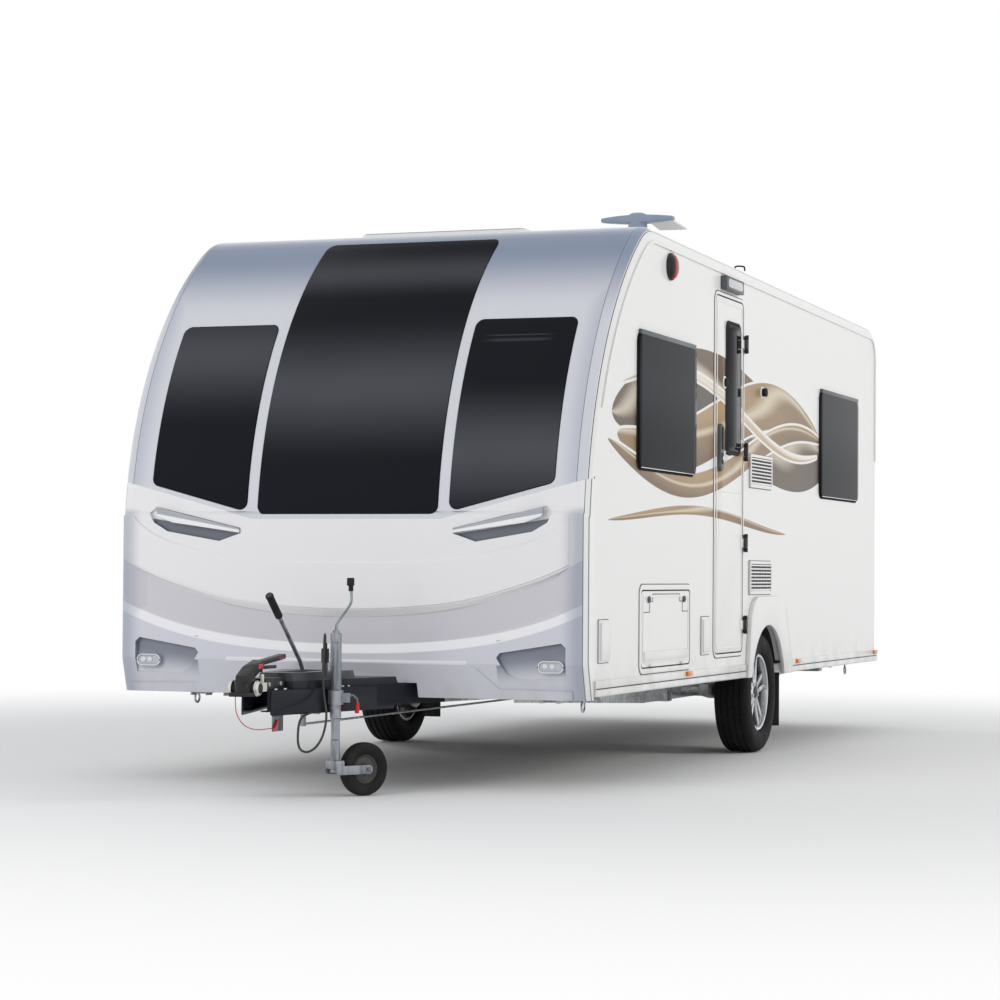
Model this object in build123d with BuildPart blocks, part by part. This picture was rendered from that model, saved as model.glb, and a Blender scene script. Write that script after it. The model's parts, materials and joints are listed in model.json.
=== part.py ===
# Travel caravan: single-axle touring trailer, parked on its jockey wheel.
# Frame: origin under the middle of the overall length at ground level,
# the coupling points to -Y, the entrance door is on +X, +Z is up. Millimetres.
import os
from math import atan2, cos, degrees, radians, sin, tan

from build123d import *

os.makedirs("parts", exist_ok=True)

# ---------------------------------------------------------------- driving sizes
body_length = 6080.0        # front panel to rear bumper
body_half = 1140.0          # half of the width over the side walls
nose_reach = 1120.0         # coupling tip ahead of the front panel
axle_from_front = 3140.0
wall = 32.0                 # bonded side wall
front_wall = 30.0
floor_thickness = 45.0
floor_top = 515.0
wall_bottom = 490.0
skirt_bottom = 418.0
roof_front_z = 2600.0       # roof height where the front curve ends
roof_fall = 0.009           # fall of the roof towards the rear, as a slope
edge_radius = 58.0          # rounding of the long body edges
rear_radius = 205.0         # rear top corner

overall = body_length + nose_reach
front_y = nose_reach - overall / 2
rear_y = overall / 2
axle_y = front_y + axle_from_front

# front panel: a plain lower moulding under a leaning curved upper part
lower_top_mid = 1200.0      # joint height between the two mouldings at the middle
lower_top_edge = 1378.0     # and at the body's edge
lower_flat_half = 460.0     # half width of the level part of that joint
lean_start_z = 1235.0
lean_start_back = 14.0
lean_angle = 6.0            # from the vertical, at the bottom of the upper part
brow_angle = 57.0           # where the tighter brow arc begins
lean_radius = 1780.0
lower_foot_back = 48.0
lower_foot_z = 405.0
lower_nose_z = 560.0

bumper_depth = 55.0
rear_panel_y = rear_y - bumper_depth

# running gear
tyre_radius = 325.0
tyre_width = 195.0
half_track = 1030.0
rim_seat = 210.0            # radius where the tyre's beads meet the rim
rim_wall = 17.0
arch_radius = 388.0
arch_inner_x = 880.0
arch_skin = 12.0
axle_beam_back = 155.0      # beam ahead of the wheel centres
axle_beam_z = 350.0
axle_beam_radius = 45.0

# nearside openings: from the front, low z, high z
door_from_front = 2090.0
door_width = 555.0
door_z0 = 556.0
door_z1 = 2396.0
door_gap = 6.0
door_hinge_x = body_half + 20.0
locker_from_front = 815.0
locker_width = 820.0
locker_z0 = 522.0
locker_z1 = 888.0

rail_x = 720.0
rail_top = floor_top - floor_thickness
rail_depth = 175.0
rail_wall = 4.0
rail_flange = 45.0

jockey_y = front_y - 545.0
jockey_tube_r = 24.0
jockey_wheel_r = 115.0
jockey_wheel_width = 60.0
jockey_trail = 150.0
jockey_heading = 31.0       # of the trailing fork, from +Y towards +X

coupling_z = 478.0


# ---------------------------------------------------------------- body outline
def brow_radius(inset):
    rise = roof_front_z - brow_start(0)[1]
    turn = 1 - sin(radians(brow_angle))
    return rise / turn - inset


def lean_start(inset):
    a = radians(lean_angle)
    return (front_y + lean_start_back + inset * cos(a), lean_start_z - inset * sin(a))


def brow_start(inset):
    y, z = lean_start(inset)
    a, b = radians(lean_angle), radians(brow_angle)
    r = lean_radius - inset
    return (y + r * (cos(a) - cos(b)), z + r * (sin(b) - sin(a)))


def brow_end_y():
    y, z = brow_start(0)
    return y + brow_radius(0) * cos(radians(brow_angle))


roof_start_y = brow_end_y()


def roof_z(y, inset=0.0):
    return roof_front_z - inset - roof_fall * (y - roof_start_y)


def outline(inset, bottom, rear_inset):
    """Side outline of the body, as (Y, Z), inset all round but at the bottom."""
    a, b = radians(lean_angle), radians(brow_angle)
    foot_back = lower_foot_back * max(0.0, lower_nose_z - bottom) / (lower_nose_z - lower_foot_z)
    start = lean_start(inset)
    flat_roof = (roof_start_y, roof_front_z - inset)
    back_y = rear_panel_y - rear_inset
    step = (front_y + inset, lean_start_z - lean_start_back)
    with BuildLine() as path:
        if foot_back > 0:
            Polyline((front_y + inset + foot_back, bottom), (front_y + inset, lower_nose_z), step, start)
        else:
            Polyline((front_y + inset, bottom), step, start)
        JernArc(start, (sin(a), cos(a)), lean_radius - inset, -(brow_angle - lean_angle))
        JernArc(brow_start(inset), (sin(b), cos(b)), brow_radius(inset), -(90 - brow_angle))
        FilletPolyline(flat_roof, (back_y, roof_z(back_y, inset)), (back_y, bottom),
                       radius=rear_radius - rear_inset)
        Line((back_y, bottom), (front_y + inset + foot_back, bottom))
    return path.line


def hull(inset, half_width, bottom, rounded=False, rear_inset=None):
    """Solid inside the body's outline."""
    rear = inset if rear_inset is None else rear_inset
    with BuildPart() as body:
        with BuildSketch(Plane.YZ):
            add(outline(inset, bottom, rear))
            make_face()
        extrude(amount=half_width)
        if rounded:
            rims = [e for e in body.edges() if e.center().X > half_width - 1 and e.center().Z > bottom + 1]
            fillet(rims, edge_radius)
        mirror(about=Plane.YZ)
    return body.part


def label(node, name):
    node.part.label = name
    export_step(node.part, f"parts/{name}.step")
    return node.part


def rod(points, radius):
    """Round rod through points, with a plain joint at each bend."""
    with BuildPart() as path:
        for start, end in zip(points, points[1:]):
            run = Vector(*end) - Vector(*start)
            with BuildSketch(Plane(origin=start, z_dir=run)):
                Circle(radius)
            extrude(amount=run.length)
    return path.part


def box_between(x0, x1, y0, y1, z0, z1):
    """Plain block between two corners."""
    with BuildPart() as block:
        with Locations(((x0 + x1) / 2, (y0 + y1) / 2, (z0 + z1) / 2)):
            Box(abs(x1 - x0), abs(y1 - y0), abs(z1 - z0))
    return block.part


outer_hull = hull(0, body_half, lower_foot_z, rounded=True)
inner_hull = hull(front_wall, body_half - wall, lower_foot_z - 50)

# front-view line of the joint between the two front mouldings, as a cutting solid
slope_end = body_half + 40
slope_rise = (lower_top_edge - lower_top_mid) / (body_half - lower_flat_half)
joint_edge_z = lower_top_mid + slope_rise * (slope_end - lower_flat_half)
with BuildPart() as above_joint:
    with BuildSketch(Plane.XZ.offset(-front_y + 200)):
        with BuildLine():
            Polyline((-slope_end, joint_edge_z), (-lower_flat_half, lower_top_mid),
                     (lower_flat_half, lower_top_mid), (slope_end, joint_edge_z),
                     (slope_end, roof_front_z + 100), (-slope_end, roof_front_z + 100), close=True)
        make_face()
    extrude(amount=-(roof_start_y - front_y + 200))

# ---------------------------------------------------------------- windows
# centre x, half width at the foot, foot z (inner, outer), head z, all on the front
window_fit = 3.0
window_above_joint = 22.0
side_pane_edge = 155.0      # from the outer front panes to the body side
post_half = 25.0            # half of the band between the panes
middle_half = 442.0
side_head_z = 2120.0
middle_head_z = 2545.0


def joint_z(x):
    """Height of the joint between the two front mouldings at this x."""
    return lower_top_mid + max(0.0, abs(x) - lower_flat_half) * slope_rise


side_inner = middle_half + 2 * post_half
side_outer = body_half - side_pane_edge
front_windows = (
    # name, x0, x1, head z
    ("left", -side_outer, -side_inner, side_head_z),
    ("middle", -middle_half, middle_half, middle_head_z),
    ("right", side_inner, side_outer, side_head_z),
)
pane_proud = 6.0
pane_deep = 18.0


def front_window_shape(x0, x1, head, grow):
    """Outline of one front window in front view, as (X, Z)."""
    foot0 = joint_z(x0) + window_above_joint
    foot1 = joint_z(x1) + window_above_joint
    with BuildSketch() as shape:
        with BuildLine():
            Polyline((x0 - grow, foot0 - grow), (x1 + grow, foot1 - grow),
                     (x1 + grow, head + grow), (x0 - grow, head + grow), close=True)
        make_face()
        fillet(shape.vertices(), 38 + grow)
    return shape.sketch


front_reach = roof_start_y - front_y + 200
proud_hull = hull(-pane_proud, body_half, lower_foot_z)
deep_hull = hull(pane_deep, body_half, lower_foot_z - 50)
with BuildPart() as front_panes:
    for name, x0, x1, head in front_windows:
        with BuildSketch(Plane.XZ.offset(-front_y + 200)):
            add(front_window_shape(x0, x1, head, -window_fit))
        extrude(amount=-front_reach)
    add(proud_hull, mode=Mode.INTERSECT)
    add(deep_hull, mode=Mode.SUBTRACT)

with BuildPart() as front_upper:
    add(outer_hull)
    add(inner_hull, mode=Mode.SUBTRACT)
    add(above_joint.part, mode=Mode.INTERSECT)
    add(box_between(-body_half + edge_radius, body_half - edge_radius, front_y - 100, roof_start_y,
                    lower_foot_z, roof_front_z + 100), mode=Mode.INTERSECT)
    for name, x0, x1, head in front_windows:
        with BuildSketch(Plane.XZ.offset(-front_y + 200)):
            add(front_window_shape(x0, x1, head, 0))
        extrude(amount=-front_reach, mode=Mode.SUBTRACT)
label(front_upper, "front_panel_upper")

front_depth = 120.0         # how far the lower moulding wraps round behind its face
frame_notch = 345.0         # half width of the cut that lets the drawbar through
field_proud = 8.0           # how far the upper field and the apron stand before the face
band_depth = 20.0           # how far the band between field and ledge lies behind it
pocket_depth = 25.0         # behind the front, for the grab handles and the lamps
form_edge = body_half - edge_radius - 12
# half of each curve in front view, from the middle to the edge, as shares of form_edge and Z;
# the field's top is given by its drop below the joint, like the handles and their pockets
field_drop = ((0.0, 185.0), (0.30, 182.0), (0.54, 191.0), (0.75, 205.0), (0.89, 194.0), (1.0, 138.0))
field_top = tuple((share, joint_z(share * form_edge) - drop) for share, drop in field_drop)
crease = ((0.0, 792.0), (0.39, 812.0), (0.57, 840.0), (0.70, 876.0), (0.83, 918.0), (1.0, 992.0))
ledge_back = ((0.0, 637.0), (0.39, 652.0), (0.61, 682.0), (0.78, 722.0), (0.93, 772.0), (1.0, 800.0))
ledge_front = ((0.0, 597.0), (0.39, 612.0), (0.61, 640.0), (0.78, 680.0), (0.93, 728.0), (1.0, 757.0))
apron_top = ((0.0, 566.0), (0.535, 568.0), (0.59, 540.0), (0.685, 449.0), (1.0, 445.0))


def below_joint(points):
    """Front-view points (X, Z) from (X, drop below the joint of the two mouldings)."""
    return [(x, joint_z(x) - drop) for x, drop in points]


def form_curve(curve, reach, lift):
    """One form line over the whole width, as (X, Z) points from left to right."""
    half = [(share * reach, z + lift) for share, z in curve]
    return [(-x, z) for x, z in reversed(half[1:])] + half


def form_region(behind, upper, lower, reach, lift=(0.0, 0.0)):
    """Region between two form lines on a plane this far behind the front."""
    top = form_curve(upper, reach, lift[0])
    foot = form_curve(lower, reach, lift[1])
    with BuildSketch(Plane.XZ.offset(-front_y - behind)) as region:
        with BuildLine():
            Spline(*top)
            Spline(*foot)
            Line(top[0], foot[0])
            Line(top[-1], foot[-1])
        make_face()
    return region.sketch


def front_pocket(points, deepest):
    """Tapered pocket on both sides of the front, from before its face to this far behind it."""
    with BuildPart() as pocket:
        with BuildSketch(Plane.XZ.offset(-front_y + field_proud + 2)):
            with BuildLine():
                Polyline(*points, close=True)
            make_face()
        extrude(amount=-(deepest + field_proud + 2), taper=8)
        mirror(about=Plane.YZ)
    return pocket.part


with BuildPart() as upper_field:
    add(form_region(2.0, field_top, crease, form_edge, (0.0, 8.0)))
    add(form_region(-field_proud, field_top, crease, form_edge - 12, (-14.0, 6.0)))
    loft(ruled=True)
with BuildPart() as band_cut:
    add(form_region(-0.5, crease, ledge_front, form_edge))
    add(form_region(band_depth, crease, ledge_back, form_edge - 70, (-34.0, 0.0)))
    loft(ruled=True)
with BuildPart() as apron:
    corners = form_curve(apron_top, form_edge, 0.0)
    for amount, lean in ((field_proud, 38), (-60, 0)):
        with BuildSketch(Plane.XZ.offset(-front_y)):
            with BuildLine():
                Polyline(*corners, (form_edge, lower_foot_z - 30), (-form_edge, lower_foot_z - 30), close=True)
            make_face()
        extrude(amount=amount, taper=lean)
    add(hull(-field_proud, body_half, lower_foot_z), mode=Mode.INTERSECT)
handle_corners = below_joint(((517, 81), (517, 55), (953, 68), (987, 107), (961, 149), (890, 171), (626, 146)))
handle_pocket = front_pocket(handle_corners, pocket_depth)
lamp_pocket = front_pocket(((724, 589), (742, 611), (1028, 657), (1050, 636), (1050, 492), (824, 489), (772, 512)),
                           pocket_depth)
with BuildPart() as front_lower:
    add(outer_hull)
    add(upper_field.part)
    add(band_cut.part, mode=Mode.SUBTRACT)
    add(apron.part)
    add(handle_pocket, mode=Mode.SUBTRACT)
    add(lamp_pocket, mode=Mode.SUBTRACT)
    add(inner_hull, mode=Mode.SUBTRACT)
    add(above_joint.part, mode=Mode.SUBTRACT)
    add(box_between(-body_half, body_half, front_y - 100, front_y + front_depth,
                    lower_foot_z, joint_edge_z), mode=Mode.INTERSECT)
    add(box_between(-frame_notch, frame_notch, front_y - 50, front_y + front_depth + 5,
                    lower_foot_z - 5, rail_top), mode=Mode.SUBTRACT)
label(front_lower, "front_panel_lower")

# ---------------------------------------------------------------- side walls
# name, side, from the front, width, low z, high z, corner radius
rear_window_start = body_length - 1680.0
rear_marker_start = body_length - 151.0
side_windows = (
    ("near_front", 1, 740.0, 965.0, 1450.0, 2077.0, 45.0),
    ("near_rear", 1, rear_window_start, 1020.0, 1425.0, 2046.0, 45.0),
    ("off_front", -1, 740.0, 965.0, 1450.0, 2077.0, 45.0),
    ("off_kitchen", -1, 2300.0, 900.0, 1450.0, 2000.0, 45.0),
    ("off_rear", -1, rear_window_start, 1020.0, 1425.0, 2046.0, 45.0),
)
side_doors = {
    # side, from the front, width, low z, high z, corner radius
    "entrance": (1, door_from_front, door_width, door_z0, door_z1, 40.0),
    "locker": (1, locker_from_front, locker_width, locker_z0, locker_z1, 30.0),
    "cassette": (-1, body_length - 1150.0, 385.0, 560.0, 905.0, 30.0),
    "service": (-1, 3760.0, 420.0, 640.0, 900.0, 30.0),
}
trim_width = edge_radius + 8


def side_opening(from_front, width, z0, z1, corner, grow):
    """Outline of a window or door in a side wall, as (Y, Z)."""
    y0 = front_y + from_front
    with BuildSketch() as shape:
        with Locations((y0 + width / 2, (z0 + z1) / 2)):
            RectangleRounded(width + 2 * grow, z1 - z0 + 2 * grow, corner + grow)
    return shape.sketch


def side_cut(side, from_front, width, z0, z1, corner, grow, x0, x1):
    """Block through one side wall from |x| = x0 to x1."""
    with BuildPart() as block:
        with BuildSketch(Plane.YZ.offset(min(side * x0, side * x1))):
            add(side_opening(from_front, width, z0, z1, corner, grow))
        extrude(amount=x1 - x0)
    return block.part


field_hull = hull(trim_width, body_half + 60, wall_bottom)
with BuildPart() as arch_cut:
    with BuildSketch(Plane.YZ):
        with Locations((axle_y, tyre_radius)):
            Circle(arch_radius)
    extrude(amount=body_half + 100, both=True)
arch_block = arch_cut.part

for name, side in (("nearside", 1), ("offside", -1)):
    with BuildPart() as side_wall:
        add(box_between(side * (body_half - wall), side * body_half, front_y, rear_y, wall_bottom,
                        roof_front_z + 50))
        add(field_hull, mode=Mode.INTERSECT)
        add(arch_block, mode=Mode.SUBTRACT)
        add(box_between(side * (body_half - wall - 5), side * (body_half + 5), front_y - 5,
                        front_y + front_depth, lower_foot_z, joint_edge_z), mode=Mode.SUBTRACT)
        for window, wside, start, width, z0, z1, corner in side_windows:
            if wside == side:
                add(side_cut(side, start, width, z0, z1, corner, 0, body_half - wall - 20, body_half + 20), mode=Mode.SUBTRACT)
        for door, (dside, start, width, z0, z1, corner) in side_doors.items():
            if dside == side:
                add(side_cut(side, start, width, z0, z1, corner, 0, body_half - wall - 20, body_half + 20), mode=Mode.SUBTRACT)
    label(side_wall, f"wall_{name}")

pane_in = 12.0              # how far a side pane sits behind the wall's face
pane_out = 14.0             # and stands before it
with BuildPart() as side_panes:
    for window, wside, start, width, z0, z1, corner in side_windows:
        add(side_cut(wside, start, width, z0, z1, corner, -window_fit, body_half - pane_in, body_half + pane_out))
with BuildPart() as panes:
    add(front_panes.part)
    add(side_panes.part)
label(panes, "body_windows")

# ---------------------------------------------------------------- edge mouldings
rail_proud = 9.0            # awning rail on the wall, beside the roof moulding
rail_foot_z = 1700.0
with BuildPart() as edges:
    add(outer_hull)
    add(box_between(-body_half + edge_radius, body_half - edge_radius, front_y - 100, rear_y,
                    lower_foot_z - 10, roof_front_z + 50), mode=Mode.SUBTRACT)
    add(inner_hull, mode=Mode.SUBTRACT)
    add(field_hull, mode=Mode.SUBTRACT)
    add(box_between(-body_half - 5, body_half + 5, front_y - 5, rear_y, lower_foot_z - 10, wall_bottom),
        mode=Mode.SUBTRACT)
    with BuildSketch(Plane.XZ.offset(-front_y + 200)):
        with BuildLine():
            Polyline((-slope_end, joint_edge_z), (-lower_flat_half, lower_top_mid),
                     (lower_flat_half, lower_top_mid), (slope_end, joint_edge_z),
                     (slope_end, 0), (-slope_end, 0), close=True)
        make_face()
    extrude(amount=-(200 + front_depth), mode=Mode.SUBTRACT)
    with BuildSketch(Plane.YZ.offset(-body_half - rail_proud)):
        add(outline(trim_width + 1, wall_bottom, trim_width + 1))
        make_face()
        with BuildSketch(mode=Mode.PRIVATE) as rail_inside:
            add(outline(trim_width + 14, wall_bottom, trim_width + 14))
            make_face()
        add(rail_inside.sketch, mode=Mode.SUBTRACT)
        with Locations((front_y, rail_foot_z / 2)):
            Rectangle(3 * body_length, rail_foot_z, mode=Mode.SUBTRACT)
    extrude(amount=rail_proud)
    mirror(about=Plane.YZ)
label(edges, "edge_mouldings")

# ---------------------------------------------------------------- roof, rear, floor
rooflights = (
    # from the front, half length, half width
    (1500.0, 350.0, 450.0),
    (3000.0, 200.0, 200.0),
    (body_length - 1180.0, 200.0, 200.0),
)
rear_split_z = roof_z(rear_panel_y) - rear_radius
with BuildPart() as roof:
    add(outer_hull)
    add(inner_hull, mode=Mode.SUBTRACT)
    add(box_between(-body_half + edge_radius, body_half - edge_radius, roof_start_y,
                    rear_panel_y + 5, rear_split_z, roof_front_z + 50), mode=Mode.INTERSECT)
    for start, half_length, half_width in rooflights:
        add(box_between(-half_width, half_width, front_y + start - half_length,
                        front_y + start + half_length, roof_z(rear_panel_y) - 150, roof_front_z + 100), mode=Mode.SUBTRACT)
label(roof, "roof")

with BuildPart() as lights:
    for start, half_length, half_width in rooflights:
        y = front_y + start
        with Locations((0, y, roof_z(y) + 12)):
            Box(2 * half_width + 50, 2 * half_length + 50, 20)
        with Locations((0, y, roof_z(y) + 12)):
            Box(2 * half_width - 40, 2 * half_length - 40, 60)
    chamfer(lights.edges().filter_by(Axis.Z), 20)
    add(outer_hull, mode=Mode.SUBTRACT)
label(lights, "rooflights")

with BuildPart() as rear_panel:
    add(outer_hull)
    add(inner_hull, mode=Mode.SUBTRACT)
    add(box_between(-body_half + edge_radius, body_half - edge_radius, rear_panel_y - 60,
                    rear_panel_y + 5, wall_bottom, rear_split_z), mode=Mode.INTERSECT)
label(rear_panel, "rear_panel")

with BuildPart() as floor:
    add(box_between(-body_half + wall, body_half - wall, front_y + front_depth, rear_panel_y - front_wall,
                    floor_top - floor_thickness, floor_top))
    for side in (1, -1):
        add(box_between(side * (arch_inner_x - arch_skin), side * body_half, axle_y - arch_radius - arch_skin,
                        axle_y + arch_radius + arch_skin, 400, 600), mode=Mode.SUBTRACT)
label(floor, "floor")

# ---------------------------------------------------------------- wheel boxes, skirts, spats
with BuildPart() as wheel_boxes:
    with BuildSketch(Plane.YZ):
        with Locations((axle_y, tyre_radius)):
            Circle(arch_radius + arch_skin)
    extrude(amount=body_half - wall, both=True)
    with BuildSketch(Plane.YZ):
        with Locations((axle_y, tyre_radius)):
            Circle(arch_radius)
    extrude(amount=body_half, both=True, mode=Mode.SUBTRACT)
    for side in (1, -1):
        with BuildSketch(Plane.YZ.offset(min(side * arch_inner_x, side * (arch_inner_x - arch_skin)))):
            with Locations((axle_y, tyre_radius)):
                Circle(arch_radius + arch_skin)
        extrude(amount=arch_skin)
    add(box_between(-arch_inner_x + arch_skin, arch_inner_x - arch_skin, axle_y - 600, axle_y + 600, -200,
                    900), mode=Mode.SUBTRACT)
    add(box_between(-body_half, body_half, axle_y - 600, axle_y + 600, -200, floor_top - floor_thickness),
        mode=Mode.SUBTRACT)
label(wheel_boxes, "wheel_boxes")

spat_front = 430.0
spat_rear = 560.0
spat_top = 845.0
spat_proud = 24.0
spat_lip = 366.0
skirt_proud = 10.0
skirt_gap = 3.0
skirt_spans = (
    (front_y + front_depth + skirt_gap, axle_y - spat_front - skirt_gap),
    (axle_y + spat_rear + skirt_gap, rear_panel_y - 10),
)
with BuildPart() as skirts:
    for side in (1, -1):
        for y0, y1 in skirt_spans:
            add(box_between(side * (body_half - 25), side * (body_half + skirt_proud), y0, y1,
                            skirt_bottom, wall_bottom))
    fillet(skirts.edges().filter_by(Axis.Y).group_by(Axis.Z)[0], 9)
    for side in (1, -1):
        add(box_between(side * (body_half + skirt_proud - 3), side * (body_half + skirt_proud + 1), front_y, rear_y,
                        skirt_bottom + 32, skirt_bottom + 38), mode=Mode.SUBTRACT)
label(skirts, "side_skirts")

with BuildPart() as spats:
    with BuildSketch(Plane.YZ.offset(-body_half - spat_proud)):
        with BuildLine():
            FilletPolyline((axle_y - spat_front, skirt_bottom), (axle_y - 350, spat_top),
                           (axle_y + 380, spat_top), (axle_y + spat_rear, skirt_bottom), radius=180)
            Line((axle_y + spat_rear, skirt_bottom), (axle_y - spat_front, skirt_bottom))
        make_face()
        with Locations((axle_y, tyre_radius)):
            Circle(spat_lip, mode=Mode.SUBTRACT)
    extrude(amount=spat_proud - 1)
    mirror(about=Plane.YZ)
label(spats, "wheel_spats")

# ---------------------------------------------------------------- chassis
jack_places = (axle_y - 620.0, axle_y + 660.0)
with BuildPart() as rails:
    for side in (1, -1):
        web = side * rail_x
        with BuildSketch(Plane.YZ.offset(web - rail_wall / 2)):
            with BuildLine():
                Polyline((front_y + 260, rail_top), (rear_panel_y - 120, rail_top),
                         (rear_panel_y - 120, rail_top - 90), (axle_y + 900, rail_top - rail_depth),
                         (axle_y - 900, rail_top - rail_depth), (front_y + 260, rail_top - 90), close=True)
            make_face()
            with Locations((axle_y - axle_beam_back, axle_beam_z)):
                Circle(axle_beam_radius + 1, mode=Mode.SUBTRACT)
            with Locations(*[(axle_y + d, 385) for d in (-820, -560, 260, 520, 780)]):
                SlotOverall(120, 60, mode=Mode.SUBTRACT)
        extrude(amount=rail_wall)
        add(box_between(web, web - side * rail_flange, front_y + 260, rear_panel_y - 120,
                        rail_top - rail_wall, rail_top))
        for y in jack_places:
            foot = rail_top - rail_depth
            add(box_between(web - side * 2, web + side * 62, y - 45, y + 45, foot, foot + 6))
            for dy in (-45, 39):
                add(box_between(web, web + side * 62, y + dy, y + dy + 6, foot, foot + 70))
label(rails, "chassis_rails")

crosser_half = rail_x - rail_flange - 6
crosser_places = (axle_y - 640, axle_y + 1100, rear_panel_y - 500)
with BuildPart() as crossers:
    for y in crosser_places:
        with BuildSketch(Plane.YZ.offset(-crosser_half)):
            with BuildLine():
                Polyline((y - 20, rail_top - rail_wall - 1), (y + 20, rail_top - rail_wall - 1),
                         (y + 20, rail_top - 9), (y - 15, rail_top - 9), (y - 15, rail_top - 65),
                         (y + 20, rail_top - 65), (y + 20, rail_top - 70), (y - 20, rail_top - 70), close=True)
            make_face()
        extrude(amount=2 * crosser_half)

# drawbar members from the overrun head to the rails
drawbar_tip_y = front_y - 930
drawbar_tip_x = 60.0
drawbar_end_y = front_y + 1350
drawbar_end_x = rail_x - rail_flange - 14
drawbar_top = rail_top - 4
drawbar_depth = 90.0
drawbar_flange = 34.0       # width of the folded channel's flanges
drawbar_wall = 6.0
drawbar_spread = (drawbar_end_x - drawbar_tip_x) / (drawbar_end_y - drawbar_tip_y)
drawbar_ties = (front_y - 620, front_y + 100, front_y + 1000)
lead_clip = (130.0, front_y - 600.0, drawbar_top - drawbar_depth - 12.0)


def member_x(y):
    """X of the outer face of the drawbar member at this y."""
    return drawbar_tip_x + drawbar_spread * (y - drawbar_tip_y)


def member_plan(side, x_in, x_out):
    """Plan of a drawbar member between two distances in from its outer face."""
    with BuildSketch() as plan:
        with BuildLine():
            Polyline((side * (drawbar_tip_x - x_out), drawbar_tip_y), (side * (drawbar_end_x - x_out), drawbar_end_y),
                     (side * (drawbar_end_x - x_in), drawbar_end_y), (side * (drawbar_tip_x - x_in), drawbar_tip_y),
                     close=True)
        make_face()
    return plan.sketch


with BuildPart() as drawbar:
    for side in (1, -1):
        with BuildSketch(Plane.XY.offset(drawbar_top - drawbar_depth)):
            add(member_plan(side, drawbar_flange, 0))
        extrude(amount=drawbar_depth)
        with BuildSketch(Plane.XY.offset(drawbar_top - drawbar_depth + drawbar_wall)):
            add(member_plan(side, drawbar_flange + 1, drawbar_wall))
        extrude(amount=drawbar_depth - 2 * drawbar_wall, mode=Mode.SUBTRACT)
    for y in drawbar_ties:
        half = member_x(y)
        add(box_between(-half + 5, half - 5, y - 20, y + 20, drawbar_top - drawbar_depth + drawbar_wall,
                        drawbar_top - drawbar_depth + 2 * drawbar_wall))
        add(box_between(-half + 5, half - 5, y - 3, y + 3, drawbar_top - drawbar_depth + drawbar_wall, drawbar_top))
    add(box_between(lead_clip[0] - 11, lead_clip[0] + 11, lead_clip[1], lead_clip[1] + 24, lead_clip[2] - 10,
                    drawbar_top - drawbar_depth + 1))
label(drawbar, "drawbar_frame")

# axle: cross tube, trailing arms and brake backplates
arm_x = 850.0
backplate_x = 905.0
brake_rod_z = 301.0
brake_rod_front = front_y - 430.0
with BuildPart() as axle:
    with BuildSketch(Plane.YZ):
        with Locations((axle_y - axle_beam_back, axle_beam_z)):
            Circle(axle_beam_radius)
    extrude(amount=arm_x - 25, both=True)
    for side in (1, -1):
        with BuildSketch(Plane.YZ.offset(side * arm_x - 25)):
            with BuildLine():
                Polyline((axle_y - axle_beam_back - 40, axle_beam_z - 40), (axle_y - axle_beam_back - 40, axle_beam_z + 40),
                         (axle_y, tyre_radius + 38), (axle_y + 38, tyre_radius), (axle_y, tyre_radius - 38), close=True)
            make_face()
            fillet(vertices()[:2], 20)
        extrude(amount=50)
        with BuildSketch(Plane.YZ.offset(side * (arm_x + 20) if side > 0 else -backplate_x)):
            with Locations((axle_y, tyre_radius)):
                Circle(30)
        extrude(amount=backplate_x - arm_x - 20)
        with BuildSketch(Plane.YZ.offset(side * backplate_x - 4)):
            with Locations((axle_y, tyre_radius)):
                Circle(128)
        extrude(amount=8)
    add(box_between(-16, 16, axle_y - axle_beam_back - 52, axle_y - axle_beam_back - 30, brake_rod_z - 9, axle_beam_z))
    add(rod(((0, brake_rod_front, brake_rod_z), (0, axle_y - axle_beam_back - 45, brake_rod_z)), 5))
label(axle, "axle")

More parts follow.
